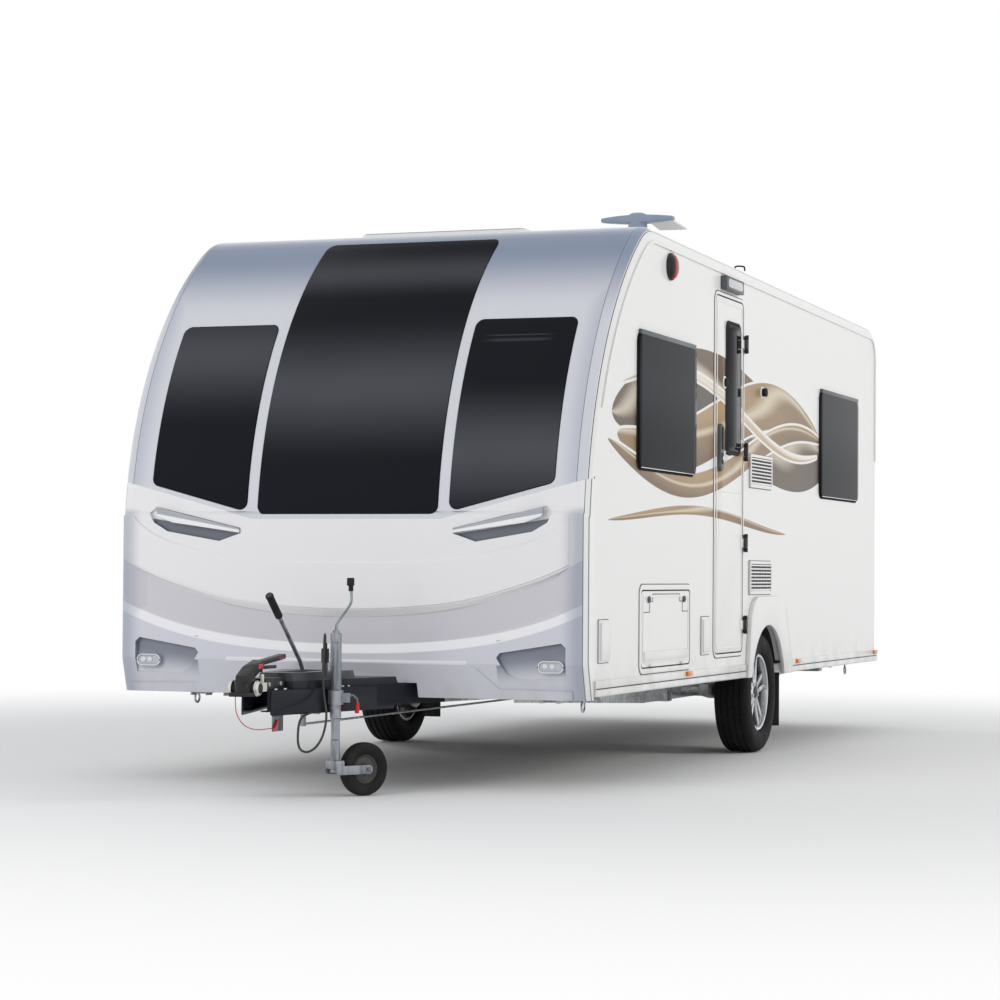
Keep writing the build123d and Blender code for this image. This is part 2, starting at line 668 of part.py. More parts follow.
# ---------------------------------------------------------------- wheels
hub_plane = backplate_x + 12
with BuildSketch() as twin_spoke:
    for lean in (1, -1):
        with BuildLine():
            Polyline((40, lean * 26), (rim_seat - rim_wall + 2, lean * 46), (rim_seat - rim_wall + 2, lean * 24),
                     (110, lean * 10), (40, lean * 4), close=True)
        make_face()
tyre_inner = half_track - tyre_width / 2
for name, side in (("nearside", 1), ("offside", -1)):
    def sx(value, side=side):
        return side * value

    with BuildPart() as tyre:
        with BuildSketch(Plane.XZ.offset(-axle_y)):
            with BuildLine():
                x0, x1 = half_track - tyre_width / 2, half_track + tyre_width / 2
                r = tyre_radius
                Polyline((sx(x0 + 18), rim_seat), (sx(x0), r - 52), (sx(x0 + 26), r),
                         (sx(x1 - 26), r), (sx(x1), r - 52), (sx(x1 - 18), rim_seat), close=True)
            make_face()
        revolve(axis=Axis((0, axle_y, 0), (1, 0, 0)))
    tyre_part = tyre.part.moved(Location((0, 0, tyre_radius)))
    with BuildPart() as tyre_placed:
        add(tyre_part)
    label(tyre_placed, f"tyre_{name}")
    with BuildPart() as rim:
        with BuildSketch(Plane.XZ.offset(-axle_y)):
            with BuildLine():
                Polyline((sx(x0 + 22), rim_seat - rim_wall - 1), (sx(x0 + 22), rim_seat - 1),
                         (sx(x1 - 22), rim_seat - 1), (sx(x1 - 22), rim_seat - rim_wall - 1), close=True)
            make_face()
        revolve(axis=Axis((0, axle_y, 0), (1, 0, 0)))
        with BuildSketch(Plane.YZ.offset(min(sx(1062), sx(1085)))):
            with Locations((axle_y, 0)):
                Circle(68)
                with PolarLocations(0, 5, start_angle=90):
                    add(twin_spoke.sketch)
        extrude(amount=23)
        with BuildSketch(Plane.YZ.offset(min(sx(hub_plane + 62), sx(1085)))):
            with Locations((axle_y, 0)):
                Circle(62)
        extrude(amount=1085 - hub_plane - 62)
    with BuildPart() as rim_placed:
        add(rim.part.moved(Location((0, 0, tyre_radius))))
    label(rim_placed, f"rim_{name}")
    with BuildPart() as drum:
        with BuildSketch(Plane.YZ.offset(min(sx(hub_plane), sx(hub_plane + 60)))):
            with Locations((axle_y, tyre_radius)):
                Circle(122)
        extrude(amount=60)
    label(drum, f"drum_{name}")

# ---------------------------------------------------------------- doors in the side walls
leaf_proud = 3.0
leaf_depth = 30.0
hinge_pin_r = 4.0
hinge_barrel_r = 9.0


def door_leaf(side, from_front, width, z0, z1, corner):
    return side_cut(side, from_front, width, z0, z1, corner, -door_gap, body_half - leaf_depth,
                    body_half + leaf_proud)


entrance = side_doors["entrance"]
door_rear_y = front_y + door_from_front + door_width
hinge_y = door_rear_y + 8
hinge_heights = (700.0, 1130.0, 1610.0, 2180.0)
retainer_z = 1952.0
retainer_reach = 392.0      # from the hinge line to the door's catch, and to the wall's
glass_start = front_y + door_from_front + 210.0
door_glass = (glass_start, glass_start + 265.0, 1600.0, 2262.0)
with BuildPart() as door:
    add(door_leaf(*entrance))
    with BuildSketch(Plane.YZ.offset(body_half - leaf_depth - 5)):
        with Locations(((door_glass[0] + door_glass[1]) / 2, (door_glass[2] + door_glass[3]) / 2)):
            RectangleRounded(door_glass[1] - door_glass[0], door_glass[3] - door_glass[2], 35)
    extrude(amount=60, mode=Mode.SUBTRACT)
    for z in hinge_heights:
        add(box_between(body_half + leaf_proud, body_half + leaf_proud + 5, hinge_y - 60, hinge_y - 12, z - 22, z + 22))
        add(box_between(body_half + leaf_proud, door_hinge_x + 6, hinge_y - 16, hinge_y + 2, z - 22, z + 22))
        with Locations((door_hinge_x, hinge_y, z)):
            Cylinder(hinge_barrel_r, 44)
        with Locations((door_hinge_x, hinge_y, z)):
            Cylinder(hinge_pin_r + 0.5, 60, mode=Mode.SUBTRACT)
    with BuildSketch(Plane.YZ.offset(body_half + leaf_proud)):
        with Locations((hinge_y - retainer_reach, retainer_z)):
            Circle(18)
    extrude(amount=16)
label(door, "door_leaf")

with BuildPart() as door_window:
    with BuildSketch(Plane.YZ.offset(body_half - leaf_depth + 4)):
        with Locations(((door_glass[0] + door_glass[1]) / 2, (door_glass[2] + door_glass[3]) / 2)):
            RectangleRounded(door_glass[1] - door_glass[0] - 2, door_glass[3] - door_glass[2] - 2, 34)
    extrude(amount=leaf_depth + leaf_proud + 2)
label(door_window, "door_window")

with BuildPart() as hinges:
    for z in hinge_heights:
        add(box_between(body_half, body_half + 5, hinge_y + 10, hinge_y + 56, z - 45, z + 45))
        for dz in (-36, 36):
            add(box_between(body_half, door_hinge_x + 4, hinge_y + 2, hinge_y + 14, z + dz - 9, z + dz + 9))
            with Locations((door_hinge_x, hinge_y, z + dz)):
                Cylinder(hinge_barrel_r, 24)
        with Locations((door_hinge_x, hinge_y, z)):
            Cylinder(hinge_pin_r, 90)
    with BuildSketch(Plane.YZ.offset(body_half)):
        with Locations((hinge_y + retainer_reach, retainer_z)):
            Circle(22)
    extrude(amount=26)
label(hinges, "door_hinges")

handle_y = front_y + door_from_front + 62
with BuildPart() as handle:
    with BuildSketch(Plane.YZ.offset(body_half + leaf_proud)):
        with Locations((handle_y, 1612)):
            RectangleRounded(66, 244, 32)
    extrude(amount=22)
label(handle, "door_handle")

# lids: locker and cassette doors drop on a bottom hinge, the service lid lifts
lids = {
    # name: hinge offset below (or above) the opening, hinge at the foot or the head
    "locker": "foot",
    "cassette": "foot",
    "service": "head",
}
lid_pin_out = 10.0
for name, edge in lids.items():
    side, start, width, z0, z1, corner = side_doors[name]
    mid_y = front_y + start + width / 2
    hinge_z = z0 + door_gap + 6 if edge == "foot" else z1 - door_gap - 6
    with BuildPart() as lid:
        add(door_leaf(side, start, width, z0, z1, corner))
        for step in (-0.32, 0.32):
            knuckle_y = mid_y + step * width
            with Locations(Location((side * (body_half + lid_pin_out), knuckle_y, hinge_z), (90, 0, 0))):
                Cylinder(6, 50)
            add(box_between(side * (body_half - 2), side * (body_half + lid_pin_out), knuckle_y - 25, knuckle_y + 25,
                            hinge_z - 5, hinge_z + 5))
    label(lid, f"{name}_door")

for name, from_front, half, depth in (("locker", locker_from_front, locker_width / 2, 420.0),):
    y0 = front_y + from_front - 20
    y1 = front_y + from_front + 2 * half + 20
    x1 = body_half - wall
    with BuildPart() as box:
        add(box_between(x1 - depth, x1, y0, y1, floor_top, locker_z1 + 24))
        add(box_between(x1 - depth + 12, x1 + 1, y0 + 12, y1 - 12, floor_top + 7, locker_z1 + 12), mode=Mode.SUBTRACT)
    label(box, "locker_box")

# ---------------------------------------------------------------- small fittings on the body
vents = ((2783.0, 1430.0), (2783.0, 859.0))
vent_width = 465.0
vent_height = 178.0
covers = ((174.0, 568.0), (1846.0, 562.0))
vent_rim = 15.0
louvre_rows = 8
louvre_step = (vent_height - 2 * vent_rim) / louvre_rows
with BuildPart() as vent:
    for start, z0 in vents:
        y0, y1 = front_y + start, front_y + start + vent_width
        add(box_between(body_half, body_half + 11, y0, y1, z0, z0 + vent_height))
        add(box_between(body_half + 3, body_half + 12, y0 + vent_rim, y1 - vent_rim, z0 + vent_rim,
                        z0 + vent_height - vent_rim), mode=Mode.SUBTRACT)
        for row in range(louvre_rows):
            foot = z0 + vent_rim + (row + 0.5) * louvre_step
            add(box_between(body_half + 2, body_half + 9, y0 + vent_rim - 1, y1 - vent_rim + 1, foot - 3, foot + 5))
    for start, z0 in covers:
        y0 = front_y + start
        add(box_between(body_half, body_half + 6, y0, y0 + 148, z0, z0 + 188))
        add(box_between(body_half, body_half + 15, y0 + 12, y0 + 136, z0 + 12, z0 + 176))
label(vent, "wall_vents")

beacon_y, beacon_z = front_y + 1270, 2440.0
with BuildPart() as beacon:
    with BuildSketch(Plane.YZ.offset(body_half)):
        with Locations((beacon_y, beacon_z)):
            Circle(62)
    extrude(amount=40)
label(beacon, "alarm_beacon")

with BuildPart() as awning_light:
    add(box_between(body_half, body_half + 35, front_y + 2190, front_y + 2530, 2428, 2498))
label(awning_light, "awning_light")

marker_places = (1591.0, axle_from_front + 709.0, rear_marker_start)
marker_z = wall_bottom - 13
with BuildPart() as markers:
    for side in (1, -1):
        for start in marker_places:
            add(box_between(side * (body_half + skirt_proud), side * (body_half + skirt_proud + 12),
                            front_y + start - 45, front_y + start + 45, marker_z - 11, marker_z + 11))
label(markers, "side_markers")

front_lamp_z = lower_nose_z - 9
with BuildPart() as front_lamps:
    for side in (1, -1):
        with BuildSketch(Plane.XZ.offset(-front_y - pocket_depth)):
            with Locations((side * (body_half - 160), front_lamp_z)):
                SlotOverall(116, 50)
        extrude(amount=pocket_depth - 4)
label(front_lamps, "front_lamps")

# flat grab bars across their pockets
bar_back = 2.0
bar_front = -10.0
with BuildPart() as grabs:
    for behind, depth, corners in (
        (bar_back, bar_back - bar_front, ((521, 78), (521, 59), (946, 73), (936, 113), (860, 121))),
        (pocket_depth, pocket_depth - bar_back + 1, ((530, 80), (530, 63), (556, 65), (556, 82))),
        (pocket_depth, pocket_depth - bar_back + 1, ((900, 111), (900, 75), (932, 78), (928, 108))),
    ):
        with BuildSketch(Plane.XZ.offset(-front_y - behind)):
            with BuildLine():
                Polyline(*below_joint(corners), close=True)
            make_face()
        extrude(amount=depth)
    mirror(about=Plane.YZ)
label(grabs, "grab_handles")

with BuildPart() as bumper:
    add(box_between(-body_half + 30, body_half - 30, rear_panel_y, rear_y, 430, 640))
    fillet(bumper.edges().filter_by(Axis.X).sort_by(Axis.Y)[-2:], 25)
    fillet(bumper.edges().filter_by(Axis.Z).sort_by(Axis.Y)[-2:], 40)
    add(box_between(-275, 275, rear_y - 16, rear_y + 1, 470, 600), mode=Mode.SUBTRACT)
label(bumper, "rear_bumper")

with BuildPart() as rear_lamps:
    for side in (1, -1):
        add(box_between(side * (body_half - 235), side * (body_half - 85), rear_panel_y, rear_panel_y + 22, 690, 1230))
        for z in (785, 955, 1135):
            with BuildSketch(Plane.XZ.offset(-rear_panel_y - 40)):
                with Locations((side * (body_half - 160), z)):
                    Circle(58)
            extrude(amount=20)
    add(box_between(-150, 150, rear_panel_y, rear_panel_y + 20, 2150, 2180))
label(rear_lamps, "rear_lamps")

with BuildPart() as flaps:
    for side in (1, -1):
        add(box_between(side * 930, side * 1105, axle_y + 455, axle_y + 463, 120, 418))
label(flaps, "mudflaps")

aerial_x, aerial_y = body_half - 320, front_y + 1780
aerial_z = roof_z(aerial_y) + 140
with BuildPart() as aerial:
    with Locations((aerial_x, aerial_y, (aerial_z + roof_z(aerial_y)) / 2 - 5)):
        Cylinder(28, aerial_z - roof_z(aerial_y) + 10)
    with BuildSketch(Plane.XY.offset(aerial_z)):
        with Locations((aerial_x, aerial_y)):
            SlotOverall(380, 110)
    extrude(amount=45)
    add(outer_hull, mode=Mode.SUBTRACT)
label(aerial, "roof_aerial")

# ---------------------------------------------------------------- drawbar fittings
cover_top = 532.0
cover_step = 500.0
with BuildPart() as drawbar_cover:
    for height, corners in (
        (cover_step, ((-88, -740), (88, -740), (283, -45), (-283, -45))),
        (cover_top, ((-86, -738), (86, -738), (172, -330), (172, -250), (-172, -250), (-172, -330))),
    ):
        with BuildSketch(Plane.XY.offset(drawbar_top)):
            with BuildLine():
                Polyline(*[(x, front_y + y) for x, y in corners], close=True)
            make_face()
        extrude(amount=height - drawbar_top, taper=12)
    add(box_between(-54, 54, front_y - 640, front_y - 300, cover_top - 16, cover_top + 1), mode=Mode.SUBTRACT)
    add(box_between(-24, 24, front_y - 620, front_y - 400, 0, 700), mode=Mode.SUBTRACT)
    add(box_between(111, 129, front_y - 492, front_y - 474, cover_step - 2, 571))
label(drawbar_cover, "drawbar_cover")

coupling_tip_y = front_y - nose_reach
ball_r = 25.25
ball_y = coupling_tip_y + 90
head_low, head_high = coupling_z - 32, coupling_z + 40
skirt_high = head_low + 16
bellows_front = ball_y + 62
bellows_ribs = 4
with BuildPart() as coupling:
    with BuildSketch(Plane.XY.offset(head_low)):
        with BuildLine():
            Polyline((-52, ball_y - 40), (-30, coupling_tip_y), (30, coupling_tip_y), (52, ball_y - 40),
                     (52, ball_y + 42), (30, ball_y + 62), (-30, ball_y + 62), (-52, ball_y + 42), close=True)
        make_face()
    extrude(amount=skirt_high - head_low)
    with Locations((0, ball_y, (head_low + head_high) / 2)):
        Cylinder(44, head_high - head_low)
    chamfer(coupling.faces().sort_by(Axis.Z)[-1].edges(), 10)
    with Locations(Location((0, ball_y + 4, coupling_z), (0, 90, 0))):
        Cylinder(25, 104)
        Cylinder(22, 140)
    add(box_between(-28, 28, ball_y, bellows_front, coupling_z - 26, coupling_z + 26))
    with Locations((0, ball_y, head_low)):
        Cylinder(ball_r, 2 * 48, mode=Mode.SUBTRACT)
    # the locking handle: a broad back over the head that narrows to a grip
    for half, profile in (
        (26, ((-42, 506), (-34, 530), (30, 566), (130, 592), (130, 560), (60, 530), (20, 512))),
        (15, ((110, 566), (110, 586), (365, 611), (375, 600), (365, 590))),
    ):
        with BuildSketch(Plane.YZ.offset(-half)):
            with BuildLine():
                Polyline(*[(ball_y + y, z) for y, z in profile], close=True)
            make_face()
        extrude(amount=2 * half)
    add(box_between(-9, 9, ball_y + 150, ball_y + 290, 552, 566))
    add(box_between(-9, 9, ball_y + 100, ball_y + 152, 540, 580))
label(coupling, "coupling_head")

breakaway_eye = (42.0, front_y - 850.0, 305.0)
with BuildPart() as overrun:
    add(box_between(-50, 50, drawbar_tip_y, front_y - 745, drawbar_top, 515))
    rib_pitch = (drawbar_tip_y - bellows_front) / bellows_ribs
    for rib in range(bellows_ribs):
        rib_y = bellows_front + (rib + 0.5) * rib_pitch
        with Locations(Location((0, rib_y, coupling_z), (90, 0, 0))):
            Cylinder(29, rib_pitch)
            Cylinder(34, rib_pitch / 2)
    add(box_between(-24, 24, drawbar_tip_y - 1, drawbar_tip_y + 10, coupling_z - 30, drawbar_top + 1))
    add(box_between(40, 44, breakaway_eye[1], front_y - 745, 290, drawbar_top + 1))
label(overrun, "overrun_housing")

lever_route = ((0, front_y - 448, 470), (0, front_y - 448, 530), (0, front_y - 476, 572), (0, front_y - 700, 770))
with BuildPart() as brake_lever:
    add(box_between(-18, 18, front_y - 560, front_y - 430, drawbar_top - 60, drawbar_top + 20))
    add(box_between(-9, 9, front_y - 450, brake_rod_front, brake_rod_z - 9, drawbar_top - 50))
    add(rod(lever_route, 9))
    add(rod((lever_route[-1], (0, front_y - 804, 862)), 14))
label(brake_lever, "handbrake_lever")

clamp_z = 425.0
jockey_x = member_x(jockey_y) + jockey_tube_r + 12
with BuildPart() as clamp:
    with Locations((jockey_x, jockey_y, clamp_z)):
        Cylinder(jockey_tube_r + 10, 60)
        Cylinder(jockey_tube_r + 0.5, 60, mode=Mode.SUBTRACT)
    with Locations((jockey_x + jockey_tube_r + 25, jockey_y, clamp_z)):
        Box(32, 14, 40)
    clamp_x = jockey_x + jockey_tube_r + 22
    clamp_turn = (clamp_x, jockey_y + 125, 414)
    add(rod(((clamp_x, jockey_y, 432), (clamp_x, jockey_y + 80, 432), clamp_turn, (clamp_x, jockey_y + 126, 398)), 5))
    with Locations((clamp_x, jockey_y + 126, 376)):
        Cylinder(10, 46)
label(clamp, "jockey_clamp")

jockey_drop = 245.0
tube_step = 335.0           # the outer tube's foot, with the inner tube below it
crank = ((jockey_x, jockey_y, 695), (jockey_x, jockey_y, 724), (jockey_x, jockey_y + 128, 806),
         (jockey_x, jockey_y + 166, 842), (jockey_x, jockey_y + 158, 880))
with BuildPart() as jockey_tube:
    with Locations((jockey_x, jockey_y, (tube_step + 700) / 2)):
        Cylinder(jockey_tube_r, 700 - tube_step)
    with Locations((jockey_x, jockey_y, (jockey_drop + tube_step) / 2)):
        Cylinder(jockey_tube_r - 5, tube_step - jockey_drop)
    with Locations((jockey_x, jockey_y, 704)):
        Cylinder(14, 16)
    add(rod(crank, 6))
    add(rod((crank[-1], (jockey_x, jockey_y + 152, 935)), 14))
label(jockey_tube, "jockey_tube")

fork_dx = jockey_trail * sin(radians(jockey_heading))
fork_dy = jockey_trail * cos(radians(jockey_heading))
fork_plane = Plane(origin=(jockey_x, jockey_y, 0), x_dir=(sin(radians(jockey_heading)), cos(radians(jockey_heading)), 0),
                   z_dir=(cos(radians(jockey_heading)), -sin(radians(jockey_heading)), 0))
with BuildPart() as fork:
    with Locations((jockey_x, jockey_y, 200)):
        Cylinder(20, 86)
    for d in (-44, 38):
        with BuildSketch(fork_plane.offset(d)):
            with BuildLine():
                Polyline((-24, 120), (24, 160), (jockey_trail + 18, 133), (jockey_trail + 18, 97), (-24, 85), close=True)
            make_face()
        extrude(amount=6)
    with BuildSketch(fork_plane.offset(-44)):
        with Locations((0, 122)):
            Rectangle(48, 70)
    extrude(amount=88)
    with BuildSketch(fork_plane.offset(-44)):
        with Locations((jockey_trail, jockey_wheel_r)):
            Circle(8)
    extrude(amount=88)
label(fork, "jockey_fork")

with BuildPart() as jockey_wheel:
    with BuildSketch(fork_plane.offset(-jockey_wheel_width / 2)):
        with Locations((jockey_trail, jockey_wheel_r)):
            Circle(jockey_wheel_r)
            Circle(8.3, mode=Mode.SUBTRACT)
    extrude(amount=jockey_wheel_width)
    tread_rims = [e for e in jockey_wheel.edges().filter_by(GeomType.CIRCLE) if e.radius > 50]
    chamfer(tread_rims, 12)
label(jockey_wheel, "jockey_wheel")

# ---------------------------------------------------------------- corner steadies
steady_x = 870.0
steady_pivot_z = 400.0
steady_length = 420.0
steady_places = (
    # name, side, pivot y, direction in which the folded leg points
    ("front_near", 1, front_y + 330, 1),
    ("front_off", -1, front_y + 330, 1),
    ("rear_near", 1, rear_panel_y - 300, -1),
    ("rear_off", -1, rear_panel_y - 300, -1),
)
with BuildPart() as brackets:
    add(crossers.part)
    for name, side, pivot_y, way in steady_places:
        x = side * steady_x
        add(box_between(x - 45, x + 45, pivot_y - 40, pivot_y + 40, 462, rail_top))
        for dx in (-39, 39):
            add(box_between(x + dx - 4, x + dx + 4, pivot_y - 30, pivot_y + 30, steady_pivot_z - 22, 462))
        # the ring that guides the winding brace
        guide_y = pivot_y - way * 150 if way < 0 else pivot_y + 160
        guide_x = side * (steady_x + 100)
        add(box_between(guide_x - 4, guide_x + 4, guide_y - 9, guide_y + 9, 381, rail_top))
        with BuildSketch(Plane.YZ.offset(guide_x - 4)):
            with Locations((guide_y, 358)):
                Circle(27)
                Circle(19, mode=Mode.SUBTRACT)
        extrude(amount=8)
label(brackets, "floor_brackets")
for name, side, pivot_y, way in steady_places:
    x = side * steady_x
    with BuildPart() as leg:
        with Locations(Location((x, pivot_y, steady_pivot_z), (0, 90, 0))):
            Cylinder(16, 60)
        add(box_between(x - 25, x + 25, pivot_y, pivot_y + way * steady_length, steady_pivot_z - 14, steady_pivot_z + 14))
        add(box_between(x - 75, x + 75, pivot_y + way * (steady_length - 30), pivot_y + way * (steady_length + 60),
                        steady_pivot_z - 30, steady_pivot_z - 14))
    label(leg, f"steady_{name}")

# ---------------------------------------------------------------- free cords
def tube_radii(points):
    """Bend radii for a cord's tube: 0.45 of the shorter run over the tangent of half the turn."""
    corners = [Vector(*p) for p in points]
    radii = []
    for before, here, after in zip(corners, corners[1:], corners[2:]):
        run_in, run_out = here - before, after - here
        half_turn = radians(run_in.get_angle(run_out)) / 2
        radii.append(0.45 * min(run_in.length, run_out.length) / tan(half_turn))
    return radii


def cord_tube(points, diameter, name):
    """Tube of straight runs and tangent arcs through the route's points."""
    radii = tube_radii(points)
    start = Vector(*points[0])
    with BuildPart() as tube:
        with BuildLine():
            FilletPolyline(*points, radius=radii)
        with BuildSketch(Plane(origin=start, z_dir=Vector(*points[1]) - start)):
            Circle(diameter / 2)
        sweep()
    print(name, "radii", [round(r) for r in radii], "volume", round(tube.part.volume))
    return tube


lead_diameter = 10.0
plug_top = (120.0, front_y - 483.0, 655.0)
lead_route = [
    lead_clip,
    (130.0, front_y - 645.0, lead_clip[2]),
    (131.0, front_y - 700.0, 358.0),
    (136.0, front_y - 760.0, 350.0),
    (148.0, front_y - 815.0, 325.0),
    (162.0, front_y - 855.0, 285.0),
    (176.0, front_y - 885.0, 246.0),
    (198.0, front_y - 906.0, 219.0),
    (232.0, front_y - 911.0, 212.0),
    (262.0, front_y - 895.0, 232.0),
    (275.0, front_y - 862.0, 270.0),
    (273.0, front_y - 825.0, 314.0),
    (258.0, front_y - 780.0, 347.0),
    (238.0, front_y - 735.0, 372.0),
    (213.0, front_y - 688.0, 396.0),
    (188.0, front_y - 645.0, 428.0),
    (171.0, front_y - 617.0, 470.0),
    (163.0, front_y - 603.0, 520.0),
    (159.0, front_y - 592.0, 575.0),
    (154.0, front_y - 574.0, 630.0),
    (148.0, front_y - 557.0, 665.0),
    (138.0, front_y - 532.0, 689.0),
    (127.5, front_y - 503.0, 695.0),
    (120.0, front_y - 483.0, 680.0),
    plug_top,
]
label(cord_tube(lead_route, lead_diameter, "supply_lead"), "supply_lead")

cable_diameter = 4.0
cable_route = [
    (-36.0, front_y - 1045.0, head_low),
    (-36.0, front_y - 1045.0, 412.0),
    (-34.0, front_y - 1038.0, 372.0),
    (-26.0, front_y - 1012.0, 336.0),
    (-10.0, front_y - 975.0, 311.0),
    (14.0, front_y - 930.0, 300.0),
    (breakaway_eye[0], front_y - 891.0, breakaway_eye[2]),
    breakaway_eye,
]
label(cord_tube(cable_route, cable_diameter, "breakaway_cable"), "breakaway_cable")

# the lead's plug, parked on a post of the drawbar cover, and the clip that the lead leaves
with BuildPart() as plug:
    with Locations((plug_top[0], plug_top[1], plug_top[2] - 12)):
        Cylinder(9, 24)
    with Locations((plug_top[0], plug_top[1], plug_top[2] - 54)):
        Cylinder(17, 60)
label(plug, "lead_plug")
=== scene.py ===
"""Finishes and fine detail for a single-axle travel caravan, parked on its jockey wheel."""

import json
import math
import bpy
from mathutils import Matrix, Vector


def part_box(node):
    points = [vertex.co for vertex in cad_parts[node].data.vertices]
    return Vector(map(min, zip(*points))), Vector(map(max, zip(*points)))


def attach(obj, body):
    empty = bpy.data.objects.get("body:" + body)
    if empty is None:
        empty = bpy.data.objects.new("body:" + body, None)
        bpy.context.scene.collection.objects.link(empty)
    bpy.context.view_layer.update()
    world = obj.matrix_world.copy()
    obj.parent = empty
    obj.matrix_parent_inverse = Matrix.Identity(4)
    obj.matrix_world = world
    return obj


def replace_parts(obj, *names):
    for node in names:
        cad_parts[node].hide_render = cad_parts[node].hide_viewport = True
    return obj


bl_info = {
    "name": "Travel Caravan Finish",
    "version": (1, 0, 0),
    "blender": (4, 5, 0),
    "location": "View3D > Sidebar > Caravan",
    "description": "Finishes, windows, wheels, fittings and cords of a touring caravan",
    "category": "Object",
}

import bmesh
import bpy
from mathutils import Matrix, Vector

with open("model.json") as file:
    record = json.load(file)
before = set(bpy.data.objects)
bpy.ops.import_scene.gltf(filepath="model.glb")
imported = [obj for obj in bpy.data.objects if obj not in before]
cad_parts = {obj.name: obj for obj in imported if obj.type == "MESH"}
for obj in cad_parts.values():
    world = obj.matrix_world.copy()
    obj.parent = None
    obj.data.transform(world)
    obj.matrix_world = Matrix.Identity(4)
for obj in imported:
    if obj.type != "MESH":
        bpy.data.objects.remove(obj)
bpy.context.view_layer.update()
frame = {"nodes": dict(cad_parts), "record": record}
NODES = frame["nodes"]

# ---------------------------------------------------------------- places, in metres
FRONT_Y = -2.48             # the front panel's foremost line
HALF = 1.14                 # half of the width over the walls
AXLE_Y = 0.66
TYRE_R = 0.325
HALF_TRACK = 1.03
RIM_FACE = 1.085            # the rims' outer face, from the middle of the body
BOLT_CIRCLE = 0.052         # radius
ROOF_START_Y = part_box("roof")[0].y
ROOF_Z = 2.600              # the roof's top where it starts
ROOF_FALL = 0.009           # its slope to the rear
FORM_EDGE = 1.07            # half width of the lower front's form lines
JOINT_MID = 1.200           # height of the joint of the two front mouldings, at its middle
JOINT_FLAT = 0.460          # half of its level part
JOINT_RISE = 0.2618         # its slope from there to the corners
BALL_Y = FRONT_Y - 1.030    # the coupling's ball
MEMBER_TIP = (0.060, -0.930)    # a drawbar member's tip: x and distance behind the front
MEMBER_SPREAD = 0.25570     # how far a member runs outwards for each metre towards the body
JOCKEY_POST = Vector((0.197485, FRONT_Y - 0.545, 0.0))
JOCKEY_HEADING = math.radians(31.0)
JOCKEY_ALONG = Vector((math.sin(JOCKEY_HEADING), math.cos(JOCKEY_HEADING), 0.0))
JOCKEY_ACROSS = Vector((math.cos(JOCKEY_HEADING), -math.sin(JOCKEY_HEADING), 0.0))
JOCKEY_HUB = JOCKEY_POST + JOCKEY_ALONG * 0.150 + Vector((0.0, 0.0, 0.115))
LAMP_X = 0.980              # the front and rear lamps, from the middle of the body
FOLD = 2.9                  # an edge bent more than this, in radians, is a fold
WHEELS = {"nearside": (1, "wheel_near"), "offside": (-1, "wheel_off")}


# ---------------------------------------------------------------- shader helpers
def maths(operation, swapped=False):
    """A method of Wire that adds a Math node."""

    def act(self, *others):
        values = (*others, self) if swapped else (self, *others)
        return self.owner.node("ShaderNodeMath", {"operation": operation}, *values)

    return act


class Wire:
    """A shader socket whose arithmetic adds Math nodes."""

    def __init__(self, owner, socket):
        self.owner = owner
        self.socket = socket

    __add__, __radd__ = maths("ADD"), maths("ADD", swapped=True)
    __sub__, __rsub__ = maths("SUBTRACT"), maths("SUBTRACT", swapped=True)
    __mul__, __rmul__ = maths("MULTIPLY"), maths("MULTIPLY", swapped=True)
    __truediv__, __rtruediv__ = maths("DIVIDE"), maths("DIVIDE", swapped=True)
    __abs__ = maths("ABSOLUTE")
    at_most, at_least = maths("MINIMUM"), maths("MAXIMUM")
    sine, root, angle = maths("SINE"), maths("SQRT"), maths("ARCTAN2")

    def above(self, edge, soft):
        """0 below the edge and 1 above it, over a soft band."""
        return self.owner.node("ShaderNodeMapRange", {"interpolation_type": "SMOOTHSTEP"},
                               self, edge - soft, edge + soft)

    def below(self, edge, soft):
        return 1.0 - self.above(edge, soft)

    def between(self, low, high, soft):
        return self.above(low, soft) * self.below(high, soft)


class Nodes:
    """A node tree, with one way to add its nodes."""

    def __init__(self, tree):
        self.tree = tree

    def feed(self, socket, value):
        """Links a wire to a socket, or sets a value on it."""
        if isinstance(value, Wire):
            self.tree.links.new(value.socket, socket)
        else:
            socket.default_value = (*value, 1.0) if socket.type == "RGBA" else value

    def node(self, kind, settings=None, *values, output=0, **named):
        """Adds a node: settings first, then its values or links by order or by name."""
        node = self.tree.nodes.new(kind)
        for key, value in (settings or {}).items():
            setattr(node, key, value)
        for socket, value in zip([s for s in node.inputs if s.enabled], values):
            self.feed(socket, value)
        for name, value in named.items():
            self.feed(node.inputs[name.replace("_", " ")], value)
        return Wire(self, node.outputs[output])

    def shader(self, name):
        return Wire(self, self.tree.nodes[name].outputs[0])

    def blend(self, factor, first, second):
        """Mixes two shaders by a factor."""
        return self.node("ShaderNodeMixShader", None, factor, first, second)

    def looked_at(self):
        """1 for the rays that see a backdrop: the camera's, and those by way of metal or glass."""
        camera, glossy, through = (self.node("ShaderNodeLightPath", output=f"Is {ray} Ray")
                                   for ray in ("Camera", "Glossy", "Transmission"))
        return (camera + glossy + through).at_most(1.0)


